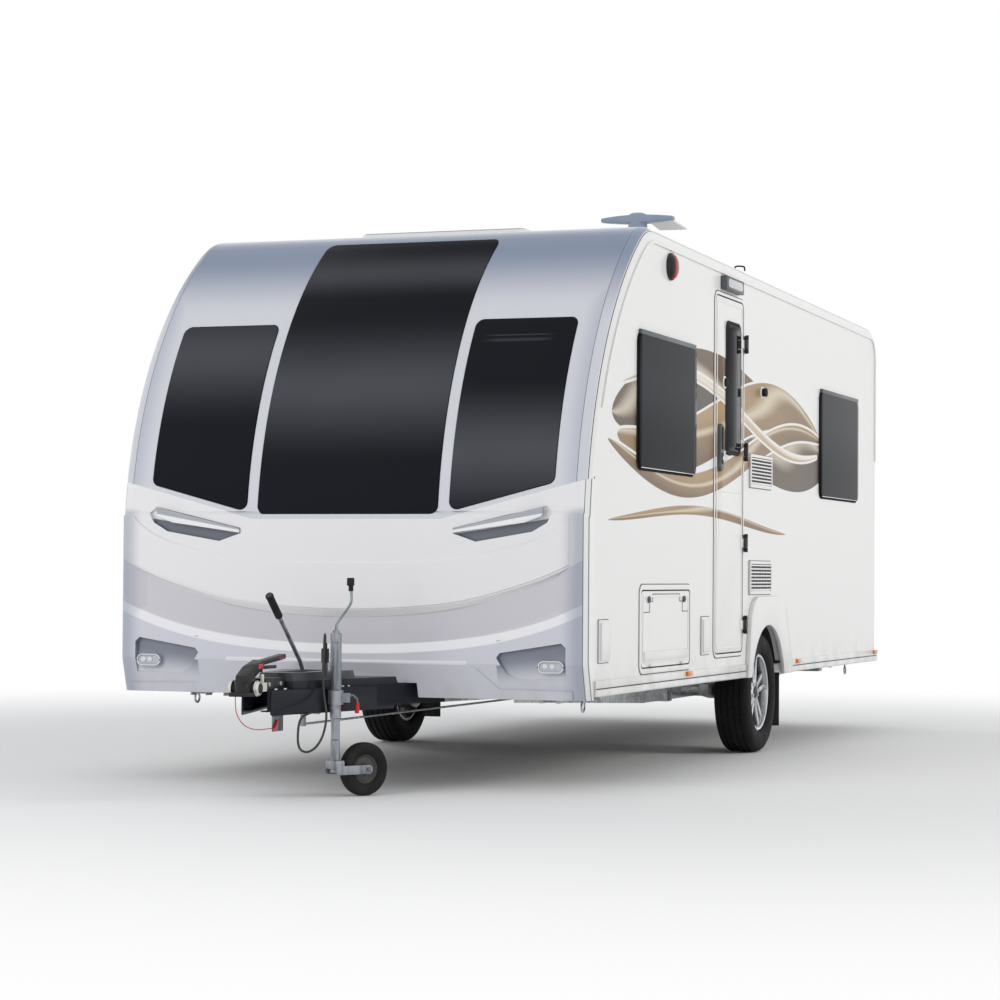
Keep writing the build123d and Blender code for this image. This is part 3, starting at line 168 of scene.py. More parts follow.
class Finish(Nodes):
    """One material: a Principled shader with its constants, and the nodes that feed it."""

    def __init__(self, name, **constants):
        self.material = bpy.data.materials.new(name)
        self.material.use_nodes = True
        super().__init__(self.material.node_tree)
        self.paint = bpy.context.scene.caravan_colours
        self.place = self.node("ShaderNodeTexCoord", output="Object")
        split = self.node("ShaderNodeSeparateXYZ", None, self.place).socket.node
        self.x, self.y, self.z = (Wire(self, socket) for socket in split.outputs)
        self.put(**constants)

    def put(self, **sockets):
        """Feeds the Principled shader's sockets, whose names have _ for a space."""
        for name, value in sockets.items():
            self.feed(self.tree.nodes["Principled BSDF"].inputs[name.replace("_", " ")], value)

    def bump(self, height, strength, distance):
        self.put(Normal=self.node("ShaderNodeBump", Strength=strength, Distance=distance, Height=height))

    def noise(self, scale, detail=3.0, stretch=None):
        place = self.place
        if stretch:
            place = self.node("ShaderNodeMapping", Vector=place, Scale=stretch)
        return self.node("ShaderNodeTexNoise", Vector=place, Scale=scale, Detail=detail, Roughness=0.55)

    def cells(self, scale, output="Distance"):
        return self.node("ShaderNodeTexVoronoi", output=output, Vector=self.place, Scale=scale)

    def mix(self, factor, first, second):
        """Mixes two colours by a factor."""
        return self.node("ShaderNodeMix", {"data_type": "RGBA"}, factor, first, second, output=2)

    def layered(self, colour, *layers):
        """A colour under layers, each a mask and a tone."""
        for mask, tone in layers:
            colour = self.mix(mask, colour, tone)
        return colour

    def clouded(self, colour, scale, amount, depth):
        """A colour that darkens a little in soft patches."""
        return self.mix(self.noise(scale) * amount, colour, tuple(c * depth for c in colour))

    def ribs(self, first, second, rate):
        """Crossed waves, from -1 to 1."""
        return (first * rate).sine() * 0.5 + (second * rate).sine() * 0.5

    def below_joint(self):
        """Distance down from the joint of the two front mouldings."""
        return JOINT_MID + (abs(self.x) - JOINT_FLAT).at_least(0.0) * JOINT_RISE - self.z


class Look:
    """A finish that is made when a piece first needs it, and the slot of the pieces that have it."""

    def __init__(self, name, slot, paint, **constants):
        self.name = name
        self.slot = slot
        self.paint = paint
        self.constants = constants
        self.material = None

    def __call__(self):
        if not self.material:
            f = Finish(self.name, **self.constants)
            self.paint(f)
            self.material = f.material
        return self.material


def finish(slot=None, **constants):
    """Turns a function that paints a finish into its look."""
    return lambda paint: Look(paint.__name__, slot, paint, **constants)


# ---------------------------------------------------------------- finishes
SKIN = {"Coat_Weight": 0.35, "Coat_Roughness": 0.08, "IOR": 1.28}


def low_dirt(f, colour, reach=0.5, amount=0.35):
    """Road film that fades out above the skirt line."""
    film = f.z.below(reach, 0.16) * f.noise(7.0, 5.0).above(0.52, 0.16) * amount
    return f.mix(film, colour, (0.42, 0.40, 0.37))


def skin(f):
    """The colour of the body skin: white with faint long waves and a little road film."""
    f.bump(f.noise(1.9, 1.0), 0.06, 0.006)
    return low_dirt(f, f.clouded(f.paint.body, 1.3, 0.5, 0.975))


@finish("body_panel", **SKIN)
def skin_white(f):
    f.put(Base_Color=skin(f), Roughness=0.29 + f.noise(14.0) * 0.06)


# start, end, middle z, swing, waves per metre, shift, width, dark foil, light foil
RIBBONS = (
    (0.36, 4.62, 1.735, 0.120, 1.32, 0.62, 0.500, "slate", "bronze"),
    (0.44, 4.40, 1.720, 0.170, 1.32, 2.20, 0.280, "bronze", "gold"),
    (0.30, 4.46, 1.585, 0.190, 1.24, 2.75, 0.130, "bronze", "gold"),
    (0.50, 4.36, 1.790, 0.165, 1.32, 0.30, 0.046, "gold", "cream"),
    (0.30, 3.60, 1.235, 0.045, 1.60, 0.80, 0.050, "bronze", "gold"),
)


def ribbon(u, z, start, end, middle, swing, waves, shift, width):
    """A flowing ribbon with tapering ends: its mask, a wider mask and the place across it."""
    share = (u - start) / (end - start)
    off = z - (((u - shift) * waves).sine() * swing + middle)
    half = (share * (1.0 - share)).at_least(0.0).root() * width
    length = u.between(start, end, 0.003)
    inside, border = ((half - abs(off)).above(edge, 0.002) * length for edge in (0.002, -0.012))
    return inside, border, off / (half * 2.0).at_least(0.002) + 0.5


@finish(**SKIN)
def skin_design(f):
    """White skin with flowing bronze, gold and slate foil ribbons along the outside of both walls."""
    colour = skin(f)
    u = f.y - FRONT_Y
    foils = {"slate": f.paint.slate, "bronze": f.paint.bronze, "gold": f.paint.gold,
             "cream": (0.88, 0.84, 0.76)}
    foil = 0.0
    outside = abs(f.x).above(HALF - 0.006, 0.001)
    for number, (*shape, dark, light) in enumerate(RIBBONS):
        inside, border, across = ribbon(u, f.z, *shape)
        inside = inside * outside
        silk = (u * 2.1 + across * 2.6 + number).sine() * 0.5 + 0.5
        tone = f.mix(across * 0.55 + silk * 0.45, foils[dark], foils[light])
        glint = (across + silk * 0.5).between(0.80, 0.98, 0.10) * 0.6
        tone = f.mix(glint, tone, (0.86, 0.78, 0.62))
        colour = f.layered(colour, (border, f.paint.body), (inside, tone))
        foil = inside.at_least(foil)
    hinge = abs(f.x).above(HALF + 0.009, 0.001)
    f.put(Base_Color=f.mix(hinge, colour, (0.03, 0.03, 0.033)),
          Roughness=0.30 + f.noise(14.0) * 0.06 - foil * 0.015,
          Coat_Weight=0.35 - foil * 0.35)


@finish(Metallic=0.55, Coat_Weight=0.6, Coat_Roughness=0.06)
def front_silver(f):
    """Metallic lacquer on the upper front, pale, with a painted sky reflection: steel blue across the top,
    paler at the very top edge as a painted sheen, and bluish at the corners.
    """
    flake = f.cells(2600.0)
    # painted sky reflection: steel blue towards the top, half paler again at the very top edge as a painted
    # sheen
    blue = f.z.above(2.33, 0.17) * (1.0 - f.z.above(2.580, 0.025) * 0.5)
    # painted reflection: bluish towards the corners
    edge = abs(f.x).above(1.04, 0.05) * f.z.above(1.3, 0.1) * 0.30
    f.put(Base_Color=f.layered(f.paint.silver, (blue.at_least(edge), f.paint.brow_sky_reflection),
                               (flake * 0.10, (0.85, 0.87, 0.90))),
          Roughness=0.29 + f.noise(9.0) * 0.06)
    f.bump(flake * 0.01 + f.noise(1.8, 1.0), 0.06, 0.004)


@finish(Metallic=0.05, Coat_Weight=0.5, Coat_Roughness=0.08)
def gel_coat(f):
    """Pale grey gel coat: a light field, painted shade on the band under its crease, a painted highlight on
    the ledge and along the apron's top, painted shade in the handle and lamp recesses and a painted dark
    reflection at the corners.
    """
    side, drop = abs(f.x), f.below_joint()
    front = f.y.below(-2.0, 0.01)
    bow = (f.x / FORM_EDGE) * (f.x / FORM_EDGE)
    crease, ledge_back, ledge_front = (
        bow * bow * steep + bow * rise + height
        for steep, rise, height in ((0.070, 0.130, 0.792), (0.067, 0.096, 0.637), (0.071, 0.089, 0.597)))
    # painted shade: the band under the crease is darker, starting lower at the middle where the lip is tall
    under = (crease - f.z - (1.0 - bow).at_least(0.0) * 0.032).above(0.0, 0.003)
    under = under * (f.z - ledge_back).above(0.0, 0.004) * front
    # painted highlight on the ledge that faces up
    bright = (ledge_back - f.z).above(0.0, 0.004) * (f.z - ledge_front).above(0.0, 0.004) * front
    foot = (ledge_front - f.z).above(0.0, 0.004) * front
    # painted highlight along the apron's top
    rim = f.z.between(0.554, 0.572, 0.003) * side.below(0.585, 0.004) * front
    # painted shade in the handle recess under the grab bar
    under_bar = (drop - 0.082 - (side - 0.52) * 0.11).above(0.0, 0.002) * drop.below(0.180, 0.002)
    handle = f.y.above(FRONT_Y + 0.004, 0.002) * under_bar * side.between(0.515, 0.990, 0.002)
    # painted shade in the lamp recess, darkest at its top
    lamp_recess_shade = f.y.between(FRONT_Y + 0.0015, FRONT_Y + 0.0300, 0.0005) * side.between(0.728, 1.048, 0.002)
    lamp_recess_shade = lamp_recess_shade * (f.z - side * 0.13).above(0.425, 0.060) * f.z.below(0.665, 0.002)
    # painted dark bluish reflection at the corners
    shade = side.above(1.060, 0.05) * f.z.below(1.24, 0.02)
    line = side.between(1.1195, 1.1225, 0.0005).at_least(side.between(1.1370, 1.1392, 0.0004))
    colour = f.layered(
        f.clouded(f.paint.gel, 2.0, 0.5, 0.97),
        (under, f.mix(bow * 0.5, (0.58, 0.565, 0.61), (0.62, 0.615, 0.66))),
        (bright, (0.84, 0.84, 0.86)),
        (foot * 0.8, (0.575, 0.585, 0.66)),
        (rim * 0.8, (0.84, 0.84, 0.86)),
        (handle * 0.92, (0.075, 0.092, 0.130)),
        (lamp_recess_shade * 0.80, (0.085, 0.110, 0.160)),
        (shade * 0.55, (0.17, 0.22, 0.31)),
        (side.above(1.1225, 0.001), f.paint.body),
        (line * 0.85, (0.05, 0.06, 0.08)),
    )
    f.put(Base_Color=low_dirt(f, colour, 0.44, 0.40), Roughness=0.29 + f.noise(12.0) * 0.06)
    f.bump(f.noise(2.6, 1.0), 0.06, 0.004)


@finish(Coat_Weight=0.4, Coat_Roughness=0.08)
def edge_trim(f):
    """Corner mouldings: lacquered silver up the front corners, with the front's painted sky reflection in
    blue towards the top, white along the roof and rear.
    """
    side = abs(f.x)
    front = f.y.below(ROOF_START_Y - 0.02, 0.05) * side.below(HALF - 0.015, 0.002) * f.z.above(1.19, 0.002)
    # silver lacquer under the painted sky reflection: bluer towards the top
    lacquer = f.mix(f.z.above(2.28, 0.20) * 0.8, f.paint.silver, f.paint.brow_sky_reflection)
    seam = side.between(HALF - 0.0130, HALF - 0.0102, 0.0004)
    joint = side.between(1.0822, 1.0852, 0.0004) * f.y.below(ROOF_START_Y, 0.01)
    f.put(Base_Color=f.layered(f.clouded(f.paint.body, 2.0, 0.4, 0.95), (front, lacquer),
                               (seam.at_least(joint * 0.8), (0.035, 0.040, 0.050))),
          Metallic=front * 0.45, Roughness=0.29 + f.noise(12.0) * 0.05)
    f.bump(f.noise(2.2), 0.05, 0.003)


@finish("white_plastic", Coat_Weight=0.25, Coat_Roughness=0.12)
def white_moulding(f):
    f.put(Base_Color=low_dirt(f, f.clouded(f.paint.body, 3.0, 0.5, 0.94), 0.52, 0.4),
          Roughness=0.30 + f.noise(60.0) * 0.10)
    f.bump(f.noise(240.0, 2.0), 0.06, 0.0006)


@finish()
def roof_white(f):
    """Roof sheet with a light grain and a little weather."""
    f.put(Base_Color=f.mix(f.noise(1.8, 5.0).above(0.5, 0.2) * 0.35, f.paint.body, (0.60, 0.60, 0.57)),
          Roughness=0.38 + f.noise(18.0) * 0.14)
    f.bump(f.cells(420.0) * 0.5 + f.noise(2.0), 0.12, 0.0015)


@finish(IOR=1.07)
def smoked_acrylic(f):
    """Dark smoked panes with the soft grey lights of the curtains and sky in them."""
    across = abs(f.x)
    front = f.y.below(-1.3, 0.01) * across.below(1.02, 0.01)
    middle = across.below(0.475, 0.004)
    lit = middle * f.z.between(1.66, 1.95, 0.22).at_least(f.z.between(2.33, 2.41, 0.10))
    near = (1.0 - middle) * f.x.above(0.0, 0.01) * f.z.between(1.34, 1.66, 0.18)
    off = (1.0 - middle) * f.x.below(0.0, 0.01) * f.z.between(1.84, 2.10, 0.22)
    side = (1.0 - front) * f.z.between(1.72, 1.98, 0.20) * 0.25
    slots = f.z.between(2.036, 2.041, 0.003).at_least(f.z.between(2.008, 2.022, 0.004) * 0.7)
    slots = slots * across.between(0.58, 0.86, 0.05) * front * 0.5
    light = (front * (lit + near + off) + side) * (f.noise(1.5, 2.0) * 0.35 + 0.72)
    f.put(Base_Color=f.mix(light.at_least(slots).at_most(1.0), (0.014, 0.015, 0.019), (0.092, 0.097, 0.110)),
          Roughness=0.04 + f.noise(22.0, 4.0).above(0.6, 0.1) * 0.04)
    f.bump(f.noise(1.4, 1.0), 0.04, 0.004)


def galvanising(name, slot=None, mask=lambda f: 0.0):
    """Spangled galvanised steel, with black paint where the mask says."""

    def paint(f):
        painted = mask(f)
        grain = f.node("ShaderNodeSeparateColor", None, f.cells(70.0, "Color"))
        stain = f.noise(11.0, 6.0).above(0.60, 0.09)
        f.put(Base_Color=f.layered(f.mix(grain, (0.44, 0.46, 0.48), (0.74, 0.76, 0.78)),
                                   (stain * 0.55, (0.40, 0.38, 0.34)), (painted, (0.011, 0.013, 0.021))),
              Metallic=(0.9 - stain * 0.45) * (1.0 - painted),
              Roughness=0.34 + grain * 0.16 + stain * 0.2)
        f.bump(grain * 0.3 + f.noise(60.0, 4.0), 0.15, 0.0008)

    return Look(name, slot, paint, IOR=1.25)


galvanised = galvanising("galvanised", "galvanised")
drawbar_paint = galvanising("drawbar_paint",
                            mask=lambda f: f.z.above(0.3615, 0.0005) * f.y.below(-2.20, 0.002))


def steel(name, mask=lambda f: 0.0, tone=(0.02, 0.02, 0.022)):
    """Bright zinc-plated steel, painted or sleeved where the mask says."""

    def paint(f):
        painted = mask(f)
        streak = f.noise(34.0, 4.0, stretch=(1.0, 1.0, 0.12)).between(0.42, 0.60, 0.12)
        f.put(Base_Color=f.mix(painted, f.mix(streak, (0.17, 0.185, 0.21), (0.38, 0.405, 0.44)), tone),
              Metallic=0.85 - painted * 0.85, Roughness=0.30 + streak * 0.14)
        f.bump(f.noise(80.0), 0.08, 0.0005)

    return Look(name, None, paint)


plain_steel = steel("plain_steel")
lever_steel = steel("lever_steel", lambda f: f.z.above(0.768, 0.001))
clamp_steel = steel("clamp_steel", lambda f: f.z.below(0.3995, 0.0005) * f.x.above(0.2305, 0.0005),
                    (0.60, 0.02, 0.03))
# rubber bellows and casting, with a plated bracket below
overrun_black = steel("overrun_black", lambda f: f.z.above(0.3535, 0.001), (0.022, 0.022, 0.024))


@finish(Coat_Weight=0.2, Coat_Roughness=0.2, IOR=1.25)
def black_coat(f):
    """Black powder coat on the drawbar's running gear."""
    wear = f.noise(26.0, 6.0).above(0.66, 0.05)
    f.put(Base_Color=f.mix(wear * 0.5, (0.020, 0.020, 0.022), (0.09, 0.085, 0.08)),
          Roughness=0.34 + wear * 0.25 + f.noise(200.0) * 0.08)
    f.bump(f.noise(420.0, 2.0), 0.14, 0.0005)


@finish("black_plastic", IOR=1.25)
def black_plastic(f):
    dust = f.noise(5.0, 6.0).above(0.52, 0.2)
    f.put(Base_Color=f.mix(dust * 0.25, (0.026, 0.027, 0.030), (0.10, 0.10, 0.095)),
          Roughness=0.40 + dust * 0.2)
    f.bump(f.cells(700.0) * 0.6 + f.noise(30.0), 0.20, 0.0005)


@finish("black_plastic", IOR=1.25)
def rubber(f):
    dust = f.noise(9.0, 7.0).above(0.50, 0.2)
    f.put(Base_Color=f.mix(dust * 0.4, (0.012, 0.012, 0.013), (0.060, 0.056, 0.052)),
          Roughness=0.62 + dust * 0.25)
    f.bump(f.noise(260.0), 0.22, 0.0006)


@finish(IOR=1.25)
def tyre_rubber(f):
    """Tyre rubber with sipes across the tread and fine rings on the sidewall."""
    dy, dz = f.y - AXLE_Y, f.z - TYRE_R
    radius = (dy * dy + dz * dz).root()
    across = abs(abs(f.x) - HALF_TRACK)
    sipe = (dz.angle(dy) * 66.0 + across * 60.0).sine().above(0.80, 0.08) * radius.above(0.3105, 0.001)
    rings = (radius * 1500.0).sine().above(0.6, 0.3) * radius.between(0.228, 0.246, 0.001)
    dust = f.noise(9.0, 7.0).above(0.50, 0.2)
    f.put(Base_Color=f.mix(dust * 0.4, (0.009, 0.009, 0.010), (0.036, 0.034, 0.032)),
          Roughness=0.60 + dust * 0.25)
    f.bump(rings * 0.25 - sipe * 2.0 + f.noise(260.0) * 0.15, 0.8, 0.0025)


@finish("alloy", Coat_Weight=0.5, Coat_Roughness=0.1)
def alloy(f):
    """Diamond-turned alloy with dark painted pockets between the spokes."""
    pocket = abs(f.x).between(0.90, 1.0615, 0.0012)
    turned = f.mix(f.noise(25.0, 5.0), (0.58, 0.59, 0.61), (0.68, 0.69, 0.71))
    f.put(Base_Color=f.mix(pocket, turned, (0.045, 0.047, 0.052)), Metallic=0.85 - pocket * 0.45,
          Roughness=0.20 + pocket * 0.14 + f.noise(60.0, 4.0) * 0.05)
    f.bump(f.noise(120.0, 2.0), 0.02, 0.0004)


@finish(Metallic=0.6)
def satin_bar(f):
    """Satin grey grab bars with a painted highlight along the lower edge, which is also smoother."""
    # painted highlight along the bars' lower edge
    edge = (f.below_joint() - 0.066 - (abs(f.x) - 0.52) * 0.085).above(0.0, 0.002)
    satin = f.mix(f.noise(20.0, 4.0), (0.36, 0.375, 0.41), (0.44, 0.455, 0.49))
    f.put(Base_Color=f.mix(edge, satin, (0.82, 0.83, 0.85)),
          Roughness=0.30 - edge * 0.16 + f.noise(40.0) * 0.06)
    f.bump(f.noise(90.0, 2.0), 0.04, 0.0003)


@finish("black_plastic", Coat_Weight=0.15, Coat_Roughness=0.12, IOR=1.3)
def cover_navy(f):
    """Glossy blue-black moulding over the drawbar."""
    dust = f.noise(6.0, 6.0).above(0.55, 0.2)
    top = f.z.above(0.4985, 0.001)
    f.put(Base_Color=f.mix(top * 0.8 + dust * 0.08, (0.006, 0.008, 0.015), (0.055, 0.058, 0.066)),
          Roughness=0.30 + dust * 0.14)
    f.bump(f.cells(600.0) * 0.4 + f.noise(14.0), 0.10, 0.0006)


@finish(Coat_Weight=0.6, Coat_Roughness=0.05)
def rear_lamp_faces(f):
    """White lamp clusters with red, amber and red round lenses, and the red high lamp."""
    glass = f.y.above(3.5685, 0.0006).at_least(f.z.above(2.10, 0.01))
    rib = f.ribs(f.x, f.z, 800.0)
    lens_tone = f.mix(f.z.between(0.87, 1.045, 0.002), (0.40, 0.012, 0.016), (0.85, 0.27, 0.02))
    lens_tone = f.mix(rib * 0.15 + 0.15, lens_tone, (0.15, 0.02, 0.02))
    f.put(Base_Color=f.mix(glass, f.paint.body, lens_tone),
          Roughness=0.22 - glass * 0.12 + f.noise(30.0) * 0.05)
    f.bump(rib * glass, 0.10, 0.0006)


@finish()
def cast_iron(f):
    rust = f.noise(18.0, 6.0).above(0.50, 0.12)
    f.put(Base_Color=f.mix(rust, (0.10, 0.095, 0.09), (0.20, 0.09, 0.045)), Metallic=0.6 - rust * 0.5,
          Roughness=0.55 + rust * 0.3)
    f.bump(f.noise(90.0, 5.0), 0.4, 0.0012)


@finish()
def floor_board(f):
    grain = f.noise(6.0, 5.0, stretch=(6.0, 0.6, 6.0))
    f.put(Base_Color=f.mix(grain, (0.045, 0.040, 0.036), (0.12, 0.105, 0.09)), Roughness=0.66 + grain * 0.2)
    f.bump(grain, 0.3, 0.0012)


@finish("white_plastic", Roughness=0.35, Coat_Weight=0.4, Coat_Roughness=0.1)
def plate_yellow(f):
    f.put(Base_Color=f.mix(f.noise(14.0, 4.0) * 0.4, (0.80, 0.62, 0.05), (0.70, 0.56, 0.09)))
    f.bump(f.cells(900.0), 0.05, 0.0003)


def lens(name, slot, colour, shade=None):
    """A ribbed lens, or one that is dark where the shade's mask says."""

    def paint(f):
        rib = f.ribs(f.y, f.z, 900.0)
        mask = shade(f) if shade else rib * 0.25 + 0.3
        tone = (0.022, 0.020, 0.024) if shade else tuple(c * 0.62 for c in colour)
        f.put(Base_Color=f.mix(mask, colour, tone), Roughness=0.10 + f.noise(30.0) * 0.06)
        f.bump(rib, 0.10, 0.0006)

    return Look(name, slot, paint, Coat_Weight=0.2, Coat_Roughness=0.03, IOR=1.25)


beacon_lens = lens("beacon_lens", "lens_red", (0.36, 0.006, 0.014),
                   lambda f: f.y.below(FRONT_Y + 1.243, 0.008))
lens_amber = lens("lens_amber", None, (0.85, 0.26, 0.02))
lens_clear = lens("lens_clear", "lens_clear", (0.62, 0.64, 0.68))


def mottled(name, slot, low, high, patches, roughness, grain, **constants):
    """A plain finish in two tones.

    Patches are a scale and a detail. Roughness is one number, or a least one, a scale and a spread. Grain is
    a scale, a detail, a strength and a depth.
    """

    def paint(f):
        f.put(Base_Color=f.mix(f.noise(*patches), low, high))
        if isinstance(roughness, tuple):
            least, scale, spread = roughness
            f.put(Roughness=least + f.noise(scale) * spread)
        else:
            f.put(Roughness=roughness)
        scale, detail, strength, depth = grain
        f.bump(f.noise(scale, detail), strength, depth)

    return Look(name, slot, paint, **constants)


zinc = mottled("zinc", "galvanised", (0.60, 0.60, 0.57), (0.74, 0.74, 0.72), (45.0, 4.0), (0.28, 80.0, 0.16),
               (200.0, 2.0, 0.08, 0.0004), Metallic=0.9)
bright_metal = mottled("bright_metal", "alloy", (0.60, 0.61, 0.63), (0.72, 0.73, 0.75), (35.0, 4.0),
                       (0.14, 70.0, 0.10), (150.0, 2.0, 0.03, 0.0003), Metallic=0.9)
grey_hub = mottled("grey_hub", "black_plastic", (0.035, 0.035, 0.037), (0.085, 0.083, 0.080), (30.0, 4.0),
                   0.5, (250.0, 3.0, 0.12, 0.0005))
grey_plastic = mottled("grey_plastic", "grey_plastic", (0.070, 0.080, 0.085), (0.110, 0.120, 0.125),
                       (8.0, 4.0), (0.36, 50.0, 0.12), (300.0, 2.0, 0.12, 0.0005))
aerial_grey = mottled("aerial_grey", "grey_plastic", (0.23, 0.29, 0.39), (0.31, 0.37, 0.47), (12.0, 4.0),
                      (0.34, 40.0, 0.12), (200.0, 2.0, 0.08, 0.0004))
cream_block = mottled("cream_block", "white_plastic", (0.58, 0.54, 0.45), (0.74, 0.71, 0.62), (60.0, 4.0),
                      0.45, (200.0, 3.0, 0.1, 0.0004))
smoked_dome = mottled("smoked_dome", "window", (0.24, 0.26, 0.29), (0.42, 0.44, 0.47), (2.0, 4.0),
                      (0.14, 30.0, 0.12), (3.0, 3.0, 0.1, 0.003), Coat_Weight=0.8, Coat_Roughness=0.05)
red_sleeve = mottled("red_sleeve", "red_sleeve", (0.45, 0.015, 0.03), (0.66, 0.04, 0.05), (40.0, 3.0), 0.32,
                     (300.0, 3.0, 0.1, 0.0004), Coat_Weight=0.4, Coat_Roughness=0.1)
cord_black = mottled("cord_black", "black_plastic", (0.014, 0.014, 0.016), (0.045, 0.043, 0.042), (60.0, 4.0),
                     (0.42, 90.0, 0.15), (400.0, 3.0, 0.15, 0.0004))

LOOKS = {name: look for look, names in (
    (skin_design, ("wall_nearside", "wall_offside", "door_leaf")),
    (skin_white, ("rear_panel", "locker_door", "cassette_door", "service_door")),
    (front_silver, ("front_panel_upper",)),
    (gel_coat, ("front_panel_lower", "rear_bumper")),
    (edge_trim, ("edge_mouldings",)),
    (roof_white, ("roof", "locker_box")),
    (white_moulding, ("wall_vents", "side_skirts", "wheel_spats", "rooflights")),
    (smoked_acrylic, ("body_windows", "door_window")),
    (galvanised, ("chassis_rails", "floor_brackets", "axle")),
    (drawbar_paint, ("drawbar_frame",)),
    (plain_steel, ("jockey_tube", "jockey_fork", "steady_front_near", "steady_front_off", "steady_rear_near",
                   "steady_rear_off")),
    (clamp_steel, ("jockey_clamp",)),
    (lever_steel, ("handbrake_lever",)),
    (overrun_black, ("overrun_housing",)),
    (black_coat, ("coupling_head",)),
    (cover_navy, ("drawbar_cover",)),
    (black_plastic, ("mudflaps", "wheel_boxes", "door_hinges", "jockey_wheel", "lead_plug")),
    (rubber, ("tyre_nearside", "tyre_offside")),
    (alloy, ("rim_nearside", "rim_offside")),
    (cast_iron, ("drum_nearside", "drum_offside")),
    (floor_board, ("floor",)),
    (grey_plastic, ("awning_light", "door_handle")),
    (satin_bar, ("grab_handles",)),
    (aerial_grey, ("roof_aerial",)),
    (lens_clear, ("front_lamps",)),
    (rear_lamp_faces, ("rear_lamps",)),
    (beacon_lens, ("alarm_beacon",)),
    (lens_amber, ("side_markers",)),
    (red_sleeve, ("breakaway_cable",)),
    (cord_black, ("supply_lead",)),
) for name in names}


# ---------------------------------------------------------------- mesh helpers
def place_piece(name, bm, look, body="chassis", smooth_angle=35.0, slotted=True):
    """Turns a bmesh into a piece at the origin that rides on a body."""
    bmesh.ops.remove_doubles(bm, verts=bm.verts, dist=1e-6)
    bmesh.ops.recalc_face_normals(bm, faces=bm.faces)
    mesh = bpy.data.meshes.new(name)
    bm.to_mesh(mesh)
    bm.free()
    piece = bpy.data.objects.new(name, mesh)
    bpy.context.collection.objects.link(piece)
    mesh.materials.append(look())
    mesh.shade_smooth()
    mesh.set_sharp_from_angle(angle=math.radians(smooth_angle))
    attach(piece, body)
    return piece


def lathe(name, profile, centre, axis, look, body="chassis", steps=64, **options):
    """Spins a profile of (distance along the axis, radius) round an axis through a centre."""
    bm = bmesh.new()
    verts = [bm.verts.new((radius, 0.0, along)) for along, radius in profile]
    edges = [bm.edges.new(pair) for pair in zip(verts, verts[1:])]
    bmesh.ops.spin(bm, geom=verts + edges, cent=(0, 0, 0), axis=(0, 0, 1), angle=2 * math.pi, steps=steps,
                   use_merge=True)
    turn = Vector((0, 0, 1)).rotation_difference(Vector(axis)).to_matrix().to_4x4()
    bmesh.ops.transform(bm, matrix=Matrix.Translation(centre) @ turn, verts=bm.verts)
    return place_piece(name, bm, look, body, **options)


def both_ends(half, *middle):
    """A profile whose second half mirrors the first."""
    return [*half, *middle, *((-along, radius) for along, radius in reversed(half))]


def bevel(bm, geom, width, segments, affect="EDGES", **options):
    bmesh.ops.bevel(bm, geom=geom, offset=width, segments=segments, profile=0.5, affect=affect, material=-1,
                    **options)


def bent(bm, angle):
    """The edges between two faces that are bent more than an angle, in radians."""
    return [e for e in bm.edges if len(e.link_faces) == 2 and e.calc_face_angle(0.0) > angle]


def body_of_node(name):
    """The body that a part rides on."""
    for body, names in frame["record"]["behaviour"]["bodies"].items():
        if name in names:
            return body
    raise RuntimeError(f"{name} rides on no body")


def soften(name, width):
    """A copy of a part with its hard edges rounded, standing for the part.

    Where a width is too much for the part's small faces, a smaller one is taken.
    """
    for share in (1.0, 0.6, 0.35, 0.2, 0.1):
        bm = bmesh.new()
        bm.from_mesh(NODES[name].data)
        area = sum(face.calc_area() for face in bm.faces)
        bmesh.ops.remove_doubles(bm, verts=bm.verts, dist=2e-5)
        bmesh.ops.dissolve_limit(bm, angle_limit=math.radians(0.8), verts=bm.verts, edges=bm.edges)
        bevel(bm, bent(bm, math.radians(32.0)), width * share, 2, offset_type="OFFSET", clamp_overlap=True)
        bmesh.ops.triangulate(bm, faces=[f for f in bm.faces if len(f.verts) > 4])
        folded = [e for e in bent(bm, FOLD) if min(f.calc_area() for f in e.link_faces) > 1e-6]
        if sum(face.calc_area() for face in bm.faces) < area * 1.001 and len(folded) < 3:
            piece = place_piece(f"{name}_soft", bm, LOOKS[name], body_of_node(name), 38.0, slotted=False)
            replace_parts(piece, name)
            return
        bm.free()
    raise RuntimeError(f"the edges of {name} can't be rounded")


def facing(out, centre):
    """Turns XY into an upright plane through a centre, with local Z pointing along out."""
    up, out = Vector((0, 0, 1)), Vector(out)
    return Matrix.Translation(centre) @ Matrix((up.cross(out), up, out)).transposed().to_4x4()


def on_side(side, proud, y, z):
    """The plane of a side wall, or one that stands proud of it."""
    return facing((side, 0, 0), (side * (HALF + proud), y, z))


def join(bm, part, place=None):
    """Adds one bmesh to another, at a place."""
    if place:
        bmesh.ops.transform(part, matrix=place, verts=part.verts)
    bmesh.ops.recalc_face_normals(part, faces=part.faces)
    mesh = bpy.data.meshes.new("joined")
    part.to_mesh(mesh)
    part.free()
    bm.from_mesh(mesh)
    bpy.data.meshes.remove(mesh)


def stand(bm, part, place, depth, round_edge):
    """Adds flat faces at a place with a thickness, and with their front edges rounded."""
    made = bmesh.ops.extrude_face_region(part, geom=part.faces[:])["geom"]
    bmesh.ops.translate(part, vec=(0, 0, depth), verts=[g for g in made if isinstance(g, bmesh.types.BMVert)])
    if round_edge:
        bevel(part, [e for e in bent(part, 1.0) if all(v.co.z > depth * 0.5 for v in e.verts)], round_edge, 3)
    join(bm, part, place)


